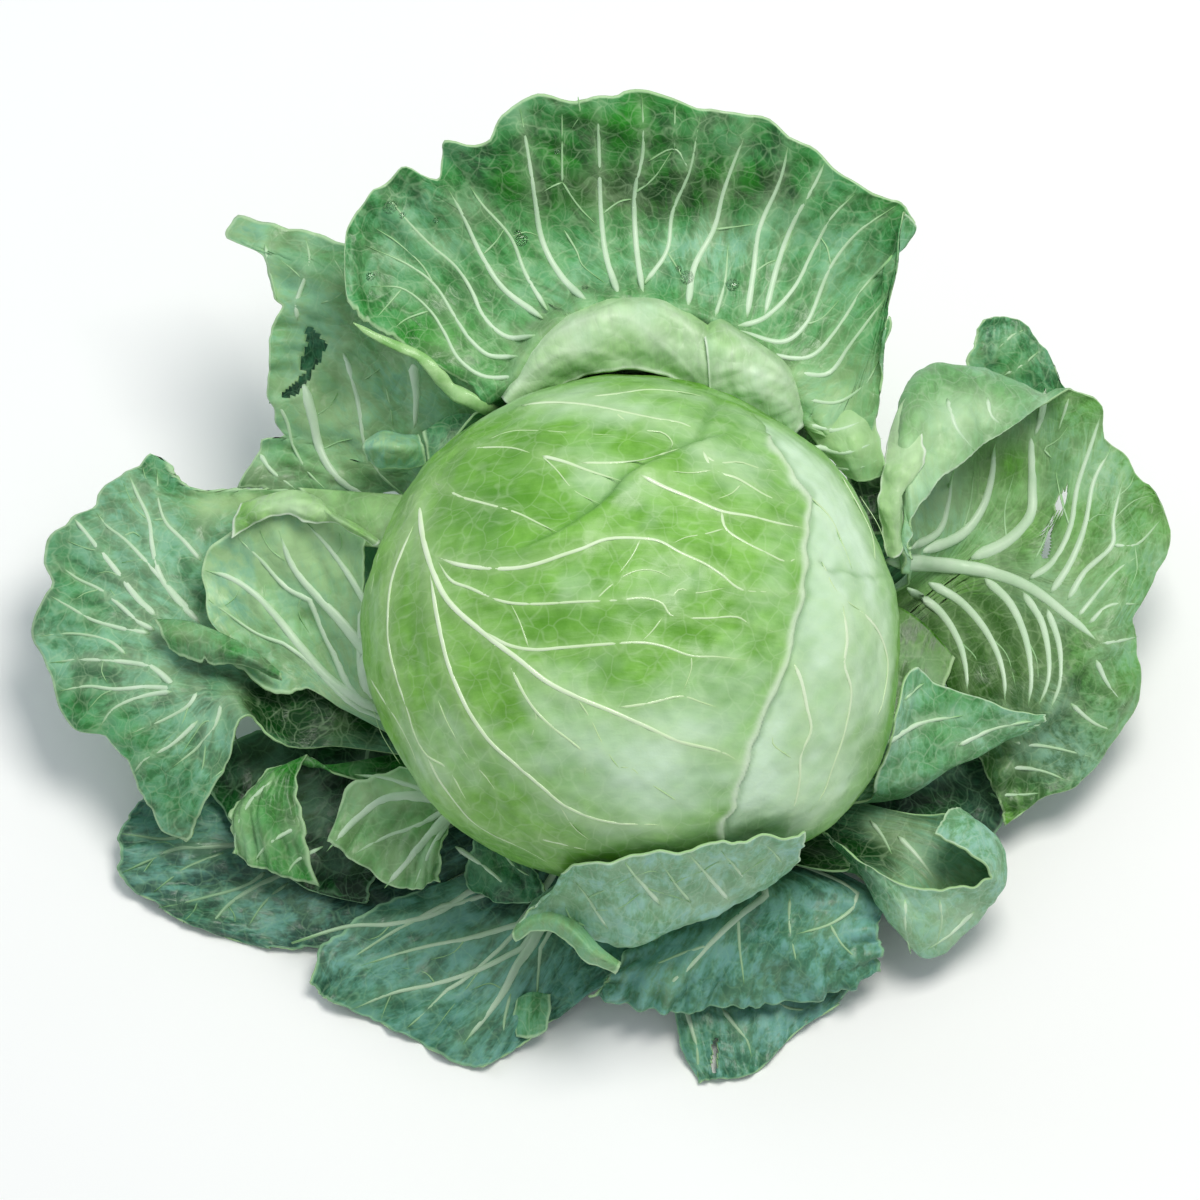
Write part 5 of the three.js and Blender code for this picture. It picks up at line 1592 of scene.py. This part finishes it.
FRONT_RIGHT_RAILS = [
    [(3, -114, 27), (-4, -124, 29), (-9, -132, 26), (-15, -138, 20)],
    [(22, -107, 32), (16, -118, 34), (7, -131, 29), (4, -142, 19)],
    [(39, -100, 35), (32, -116, 35), (26, -131, 28), (22, -144, 17)],
    [(58, -99, 36), (51, -114, 36), (45, -129, 28), (43, -142, 16)],
    [(79, -99, 36), (73, -114, 33), (71, -126, 26), (69, -139, 14)],
    [(94, -102, 32), (94, -114, 28), (96, -123, 22), (94, -129, 14)],
]
FRONT_RIGHT_RIBS = [
    (1.6, [(766, 897), (738, 918), (708, 946), (688, 968), (657, 994)]),
    (1.0, [(858, 895), (852, 910), (830, 925), (795, 935)]),
    (0.8, [(738, 918), (740, 950), (745, 985)]),
    (0.8, [(708, 946), (680, 955), (640, 972)]),
    (0.8, [(790, 900), (790, 930), (800, 975)]),
    (0.7, [(700, 905), (680, 925), (650, 945)]),
    (0.7, [(830, 925), (842, 945), (860, 962)]),
]
FRONT_RIGHT_PAINT = {
    "dark": (0, [(700, 905, 80, 10, 0.5), (820, 900, 30, 10, 0.4)]),
    "wax": (0.9, [(720, 980, 60, 20, 0.2), (800, 930, 60, 30, 0.3)]),
    "pale": (0.05, [(640, 975, 30, 15, 0.3)]),
}
FRONT_RIGHT_FOLDS = (
    ([(760, 900), (700, 950), (655, 996)], 2, 2, 12),
    ([(800, 905), (790, 940), (810, 985)], 2.5, 0, 10),
    ([(850, 905), (845, 935), (870, 965)], -2, 0, 9),
)
grow("front_right", 121, (298, 28, 36, 11), FRONT_RIGHT_RAILS, FRONT_RIGHT_PAINT, FRONT_RIGHT_RIBS,
    cells=(100, 90), ragged=2.6, ruffle=(2.2, 7), skins=(old_upper, leaf_underside, leaf_edge), shade=0.1,
    folds=FRONT_RIGHT_FOLDS)

HANGING_RAILS = [
    [(22, -124, 13), (17, -142, 9), (19, -157, 5), (26, -170, 2)],
    [(30, -124, 14), (28, -142, 10), (31, -157, 6), (33, -169, 2)],
    [(45, -122, 15), (45, -141, 9), (45, -156, 5), (47, -167, 2)],
    [(64, -120, 14), (64, -133, 8), (62, -144, 5), (60, -154, 3)],
    [(82, -118, 12), (86, -124, 8), (84, -133, 6), (79, -141, 4)],
]
HANGING_RIBS = [
    (1.1, [(686, 1008), (692, 1030), (697, 1050), (699, 1080)]),
    (1.0, [(722, 1010), (736, 1028), (747, 1042), (751, 1058)]),
    (0.8, [(770, 1000), (790, 1010), (815, 1012)]),
]
HANGING_PAINT = {"dark": (0.2, [(760, 985, 70, 12, 0.5)]), "wax": (0.85, []), "pale": (0.05, [])}
HANGING_BITES = (([(716, 1040), (714, 1072)], 0.6),)
grow("hanging", 131, (284, 24, 22, 15.5), HANGING_RAILS, HANGING_PAINT, HANGING_RIBS, cells=(70, 80),
    ragged=1.6, ruffle=(0.9, 5), covered=None, skins=(old_upper, leaf_underside, leaf_edge), shade=0.3,
    bites=HANGING_BITES)


# The leaves at the lower right: a small cup whose near side turns up, and the one in the gap under it,
# painted almost black as painted shade.
LOW_RIGHT_RAILS = [
    [(82, -90, 46), (81, -84, 51), (75, -79, 55), (72, -76, 55)],
    [(92, -94, 40), (99, -111, 32), (96, -98, 48), (89, -88, 55)],
    [(103, -94, 33), (112, -124, 16), (109, -111, 34), (103, -96, 49)],
    [(112, -90, 31), (129, -112, 20), (126, -103, 35), (122, -97, 45)],
    [(118, -82, 33), (140, -96, 30), (139, -94, 39), (136, -93, 46)],
    [(118, -75, 36), (140, -82, 38), (133, -75, 50), (124, -82, 58)],
    [(112, -70, 39), (124, -68, 48), (119, -68, 56), (114, -77, 60)],
]
LOW_RIGHT_RIBS = [
    (1.3, [(900, 838), (918, 857), (937, 882)]),
    (1.0, [(872, 822), (884, 838), (893, 856)]),
    (1.2, [(975, 912), (952, 934), (928, 950)]),
    (1.0, [(905, 900), (906, 925), (912, 955)]),
    (0.8, [(940, 900), (942, 922), (936, 950)]),
]
# The strong dark patch at the left is painted shade in the gap beside the front leaf, with the wax and pale
# taken off.
LOW_RIGHT_PAINT = {
    "dark": (0, [(900, 850, 40, 30, 0.9), (930, 875, 30, 8, 0.8), (830, 870, 50, 40, 1.5)]),
    "wax": (0.7, [(970, 840, 30, 25, 0.3), (830, 870, 50, 40, -0.9), (895, 850, 35, 25, -0.5)]),
    "pale": (0.2, [(930, 925, 45, 30, 0.35), (920, 880, 50, 10, 0.3), (830, 870, 60, 50, -0.5)]),
}
grow("low_right", 141, (322, 26, 30, 8.5), LOW_RIGHT_RAILS, LOW_RIGHT_PAINT, LOW_RIGHT_RIBS, cells=(90, 90),
    ragged=1.2, ruffle=(0.6, 5), covered=None)

RIGHT_DEEP_RAILS = [
    [(72, -84, 28), (90, -96, 22), (104, -106, 12)],
    [(80, -74, 28), (100, -84, 22), (122, -94, 10)],
    [(89, -60, 28), (114, -66, 21), (140, -76, 9)],
    [(97, -42, 30), (126, -46, 20), (150, -56, 10)],
]
# The leaf in the gap is painted almost black: painted shade.
DARKEST_SHADE_PAINT = {"dark": (0.95, []), "wax": (0.1, []), "pale": (0, [])}
RIGHT_DEEP_RIBS = [(0.6, [(992, 795), (1002, 801), (1012, 808)])]
grow("right_deep", 151, (328, 24, 28, 15.5), RIGHT_DEEP_RAILS, DARKEST_SHADE_PAINT, RIGHT_DEEP_RIBS,
    cells=(40, 50), ragged=2, ruffle=(0.6, 3), covered=None, skins=(old_upper, old_upper, leaf_edge),
    shade=0.6)


# The great cupped leaf on the right, a flap in front of it, and the tip of a dark leaf behind it. The upper
# side of the cup folds back over it, and its lower side spreads out low.
RIGHT_RAILS = [
    [(111, -9, 42), (124, -32, 36), (133, -51, 29), (139, -64, 23), (141, -72, 19)],
    [(116, -4, 42), (135, -26, 42), (148, -47, 32), (156, -62, 24), (159, -70, 19)],
    [(124, 4, 42), (150, -22, 47), (163, -37, 38), (174, -49, 28), (180, -54, 22)],
    [(129, 11, 42), (157, -13, 50), (174, -19, 46), (186, -21, 40), (193, -19, 36)],
    [(133, 17, 42), (165, 2, 50), (180, 0, 54), (189, 6, 52), (195, 9, 48)],
    [(133, 21, 43), (169, 15, 52), (186, 34, 60), (199, 49, 60), (205, 39, 56)],
    [(131, 23, 44), (163, 34, 54), (176, 52, 64), (184, 71, 70), (187, 77, 72)],
    [(129, 26, 45), (156, 49, 56), (163, 79, 76), (167, 90, 86), (171, 91, 88)],
    [(126, 28, 47), (142, 56, 58), (146, 94, 88), (144, 86, 98), (142, 75, 96)],
    [(122, 30, 50), (129, 60, 62), (124, 100, 94), (126, 86, 106), (129, 66, 100)],
    [(115, 28, 55), (115, 56, 68), (107, 96, 100), (109, 79, 112), (113, 52, 104)],
    [(107, 24, 63), (104, 41, 79), (100, 60, 98), (102, 56, 106), (105, 39, 102)],
    [(104, 17, 66), (103, 21, 76), (102, 30, 90), (103, 34, 96), (105, 26, 94)],
]
RIGHT_RIBS = [
    (3.4, [(888, 561), (949, 565), (994, 572), (1035, 588), (1073, 617), (1106, 645)]),
    (1.8, [(911, 548), (942, 531), (952, 502), (956, 470)]),
    (2.4, [(925, 551), (966, 534), (987, 507), (997, 474), (999, 441)]),
    (2.8, [(976, 558), (1012, 541), (1036, 514), (1038, 486), (1037, 450), (1036, 430)]),
    (1.6, [(1035, 579), (1058, 562), (1076, 527), (1083, 486), (1100, 434), (1106, 412)]),
    (1.7, [(1056, 593), (1076, 562), (1091, 524), (1100, 479), (1118, 445)]),
    (1.5, [(1073, 600), (1090, 572), (1118, 544), (1119, 520), (1130, 474)]),
    (0.9, [(1118, 545), (1142, 544), (1168, 518)]),
    (1.1, [(1083, 617), (1100, 596), (1121, 572), (1144, 555)]),
    (1.1, [(1093, 625), (1114, 606), (1144, 604)]),
    (1.1, [(1104, 644), (1124, 641), (1142, 637)]),
    (1.6, [(901, 610), (918, 633), (927, 660), (931, 680)]),
    (2.0, [(911, 589), (942, 610), (962, 641), (970, 672), (971, 692)]),
    (2.0, [(932, 582), (966, 603), (993, 637), (1007, 674), (1009, 706)]),
    (2.0, [(990, 579), (1014, 603), (1029, 637), (1035, 677), (1032, 708)]),
    (1.7, [(1028, 593), (1045, 620), (1052, 651), (1052, 681), (1042, 708)]),
    (1.5, [(1052, 610), (1063, 644), (1064, 681), (1053, 712)]),
    (1.2, [(1100, 660), (1112, 684), (1131, 708)]),
    (1.0, [(1074, 704), (1098, 724), (1120, 732)]),
    (0.9, [(1018, 744), (1052, 748), (1104, 760)]),
    (0.9, [(1011, 768), (1045, 772), (1070, 782)]),
    (0.8, [(1001, 796), (1025, 797), (1044, 795)]),
    (1.3, [(950, 398), (958, 427), (976, 450)]),
    (1.2, [(990, 396), (994, 415), (1004, 424)]),
    (1.7, [(1050, 388), (1046, 416), (1040, 434)]),
    (0.8, [(1074, 396), (1064, 430)]),
]
RIGHT_VEINS = [
    (0.5, [(1058, 456), (1050, 447), (1064, 438), (1074, 424)]),
    (0.5, [(1076, 527), (1068, 500), (1062, 470)]),
    (0.4, [(1118, 520), (1140, 500), (1160, 494)]),
    (0.4, [(1119, 500), (1136, 484), (1140, 474)]),
    (0.4, [(1140, 545), (1142, 570), (1134, 590)]),
    (0.5, [(1012, 541), (1010, 510), (1020, 470)]),
    (0.5, [(966, 534), (975, 500), (978, 470)]),
    (0.5, [(1040, 560), (1050, 540), (1056, 520)]),
    (0.4, [(1091, 524), (1104, 514), (1118, 516)]),
    (0.4, [(1029, 637), (1040, 660), (1042, 690)]),
    (0.4, [(993, 637), (1010, 655), (1020, 690)]),
    (0.4, [(962, 641), (980, 660), (988, 690)]),
]
RIGHT_RIM = [(1010, 826), (1030, 812), (1046, 800), (1075, 790), (1098, 772), (1112, 752), (1130, 730),
    (1143, 705), (1145, 680), (1140, 655), (1143, 632), (1133, 618), (1147, 602), (1161, 576), (1176, 548),
    (1179, 528), (1170, 505), (1164, 496), (1150, 480), (1138, 471), (1136, 458), (1120, 444), (1104, 430),
    (1108, 412), (1109, 404), (1095, 392), (1076, 388)]
# The strong dark patches in the hollow and lower part of the cup are painted shade, with the wax and pale
# taken off there.
RIGHT_PAINT = {
    "dark": (
        0,
        [(985, 670, 75, 48, 1.5), (1030, 640, 42, 55, 1.0), (940, 640, 36, 36, 1.2),
            (1040, 765, 66, 44, 1.1), (1030, 810, 30, 15, 0.5), (1050, 500, 14, 40, 0.3),
            (1090, 710, 40, 40, 0.4), (990, 760, 40, 30, 0.8)],
    ),
    "wax": (
        0.2,
        [(920, 556, 36, 26, 0.8), (985, 660, 80, 50, -0.6), (960, 520, 40, 40, 0.4),
            (1120, 480, 40, 60, 0.45), (1140, 600, 30, 60, 0.4), (1070, 420, 40, 30, 0.4),
            (1070, 760, 50, 40, 0.55), (1110, 680, 30, 50, 0.5)],
    ),
    "pale": (
        0.12,
        [(940, 460, 40, 60, 0.7), (900, 480, 20, 50, 0.6), (980, 410, 50, 25, 0.6),
            (1080, 600, 30, 50, 0.15), (1000, 660, 80, 55, -1), (1040, 770, 60, 40, -0.35),
            (1120, 520, 40, 60, -0.1)],
    ),
}
CRISP_RIM_FOLDS = (([(884, 470), (926, 462)], 2, 2, 8), ([(880, 510), (905, 500)], 2, 2, 6))
CRISP_RIM_PAINT = {"dark": (0, []), "wax": (0.1, []), "pale": (0.9, [])}
CRISP_RIM_ROWS = [
    [(892, 432, 104), (903, 404, 106), (915, 390, 106)],
    [(884, 462, 106), (906, 448, 111), (926, 436, 110)],
    [(880, 498, 105), (898, 480, 111), (926, 462, 109)],
    [(882, 528, 101), (896, 524, 105), (902, 488, 106)],
    [(888, 556, 94), (898, 556, 96), (906, 540, 96)],
]
crisp_rim = scrap(CRISP_RIM_ROWS, 1621, CRISP_RIM_PAINT, (34, 70), ragged=1.2, skins=(pale_fold,) * 3,
    folds=CRISP_RIM_FOLDS)
# The floor of the cup is painted dark: painted shade in its hollow.
CUP_FLOOR_PAINT = {"dark": (0.55, []), "wax": (0, []), "pale": (0.1, [])}
CUP_FLOOR_ROWS = [
    [(884, 596, 52), (925, 622, 48), (960, 660, 44)],
    [(880, 650, 47), (912, 672, 44), (945, 700, 40)],
    [(876, 700, 42), (900, 718, 40), (930, 738, 36)],
]
cup_floor = scrap(CUP_FLOOR_ROWS, 1622, CUP_FLOOR_PAINT, (40, 40), skins=(cup_upper,) * 3)
RIGHT_FOLDS = (
    ([(903, 562), (994, 572), (1073, 617)], 1.5, 0, 12),
    ([(950, 398), (958, 427), (976, 450)], 1.5, 0, 8),
    ([(1100, 650), (1074, 674), (1067, 698), (1042, 726), (1012, 768), (994, 816)], 3.5, 5, 16),
    ([(935, 385), (940, 420), (938, 460)], -3, 0, 8),
)
RIGHT_BITES = (
    ([(1071, 494), (1067, 504)], 1.3),
    ([(1071, 502), (1065, 507)], 0.8),
    ([(1056, 522), (1050, 556)], 0.35),
)
grow("right", 161, (8, 30, 52, 8.5), RIGHT_RAILS, RIGHT_PAINT, RIGHT_RIBS, RIGHT_VEINS, (190, 140),
    midrib=0.34, lead_from=9, skins=(cup_upper, leaf_underside, leaf_edge), ragged=1.6, ruffle=(1.1, 9),
    rim=RIGHT_RIM, scraps=[crisp_rim, cup_floor], bites=RIGHT_BITES, folds=RIGHT_FOLDS)

RIGHT_FLAP_RAILS = [
    [(90, -64, 44), (92, -58, 54), (98, -45, 66), (101, -34, 76)],
    [(103, -63, 40), (107, -58, 50), (106, -36, 64), (106, -14, 78)],
    [(116, -54, 40), (120, -51, 49), (118, -36, 61), (116, -20, 70)],
    [(127, -49, 42), (133, -46, 48), (133, -37, 56), (133, -26, 63)],
    [(139, -43, 46), (144, -40, 50), (146, -37, 53), (147, -31, 58)],
    [(150, -38, 51), (154, -35, 53), (156, -34, 54), (157, -32, 56)],
]
RIGHT_FLAP_RIBS = [
    (1.4, [(887, 744), (905, 732), (924, 723), (965, 716)]),
    (1.1, [(960, 746), (980, 736), (1000, 728), (1044, 720)]),
    (0.8, [(905, 700), (915, 690), (925, 683)]),
]
RIGHT_FLAP_PAINT = {
    "dark": (0, [(930, 750, 40, 12, 0.4)]),
    "wax": (0.45, [(900, 720, 20, 30, 0.3)]),
    "pale": (0.05, []),
}
grow("right_flap", 171, (338, 24, 24, 4.8), RIGHT_FLAP_RAILS, RIGHT_FLAP_PAINT, RIGHT_FLAP_RIBS,
    cells=(80, 70), ragged=1.0, ruffle=(0.8, 4), covered=None,
    skins=(leaf_underside, leaf_underside, leaf_edge))

RIGHT_TIP_RAILS = [
    [(158, 66, 44), (167, 82, 56), (168, 90, 62), (169, 96, 66)],
    [(148, 68, 45), (156, 84, 60), (156, 101, 72), (156, 113, 77)],
    [(135, 70, 47), (142, 86, 63), (142, 105, 78), (142, 118, 83)],
    [(120, 70, 50), (126, 86, 64), (129, 105, 77), (133, 115, 82)],
]
RIGHT_TIP_RIBS = [
    (0.8, [(1010, 372), (1030, 360), (1045, 348)]),
    (0.8, [(1005, 345), (1018, 332), (1030, 326)]),
]
RIGHT_TIP_RIM = [(1077, 390), (1068, 380), (1060, 357), (1048, 341), (1035, 324), (1018, 314), (998, 314),
    (980, 322), (972, 335), (960, 345)]
RIGHT_TIP_PAINT = {
    "dark": (0.25, [(995, 345, 6, 30, 0.5)]),
    "wax": (0.6, [(1000, 325, 12, 10, 0.3)]),
    "pale": (0, [(980, 350, 12, 30, 0.4)]),
}
RIGHT_TIP_FOLDS = (([(990, 375), (993, 345), (994, 314)], -2, 0, 6),)
grow("right_tip", 181, (36, 22, 20, 14), RIGHT_TIP_RAILS, RIGHT_TIP_PAINT, RIGHT_TIP_RIBS, cells=(50, 60),
    ragged=1.5, ruffle=(0.8, 4), rim=RIGHT_TIP_RIM, covered=None, folds=RIGHT_TIP_FOLDS)
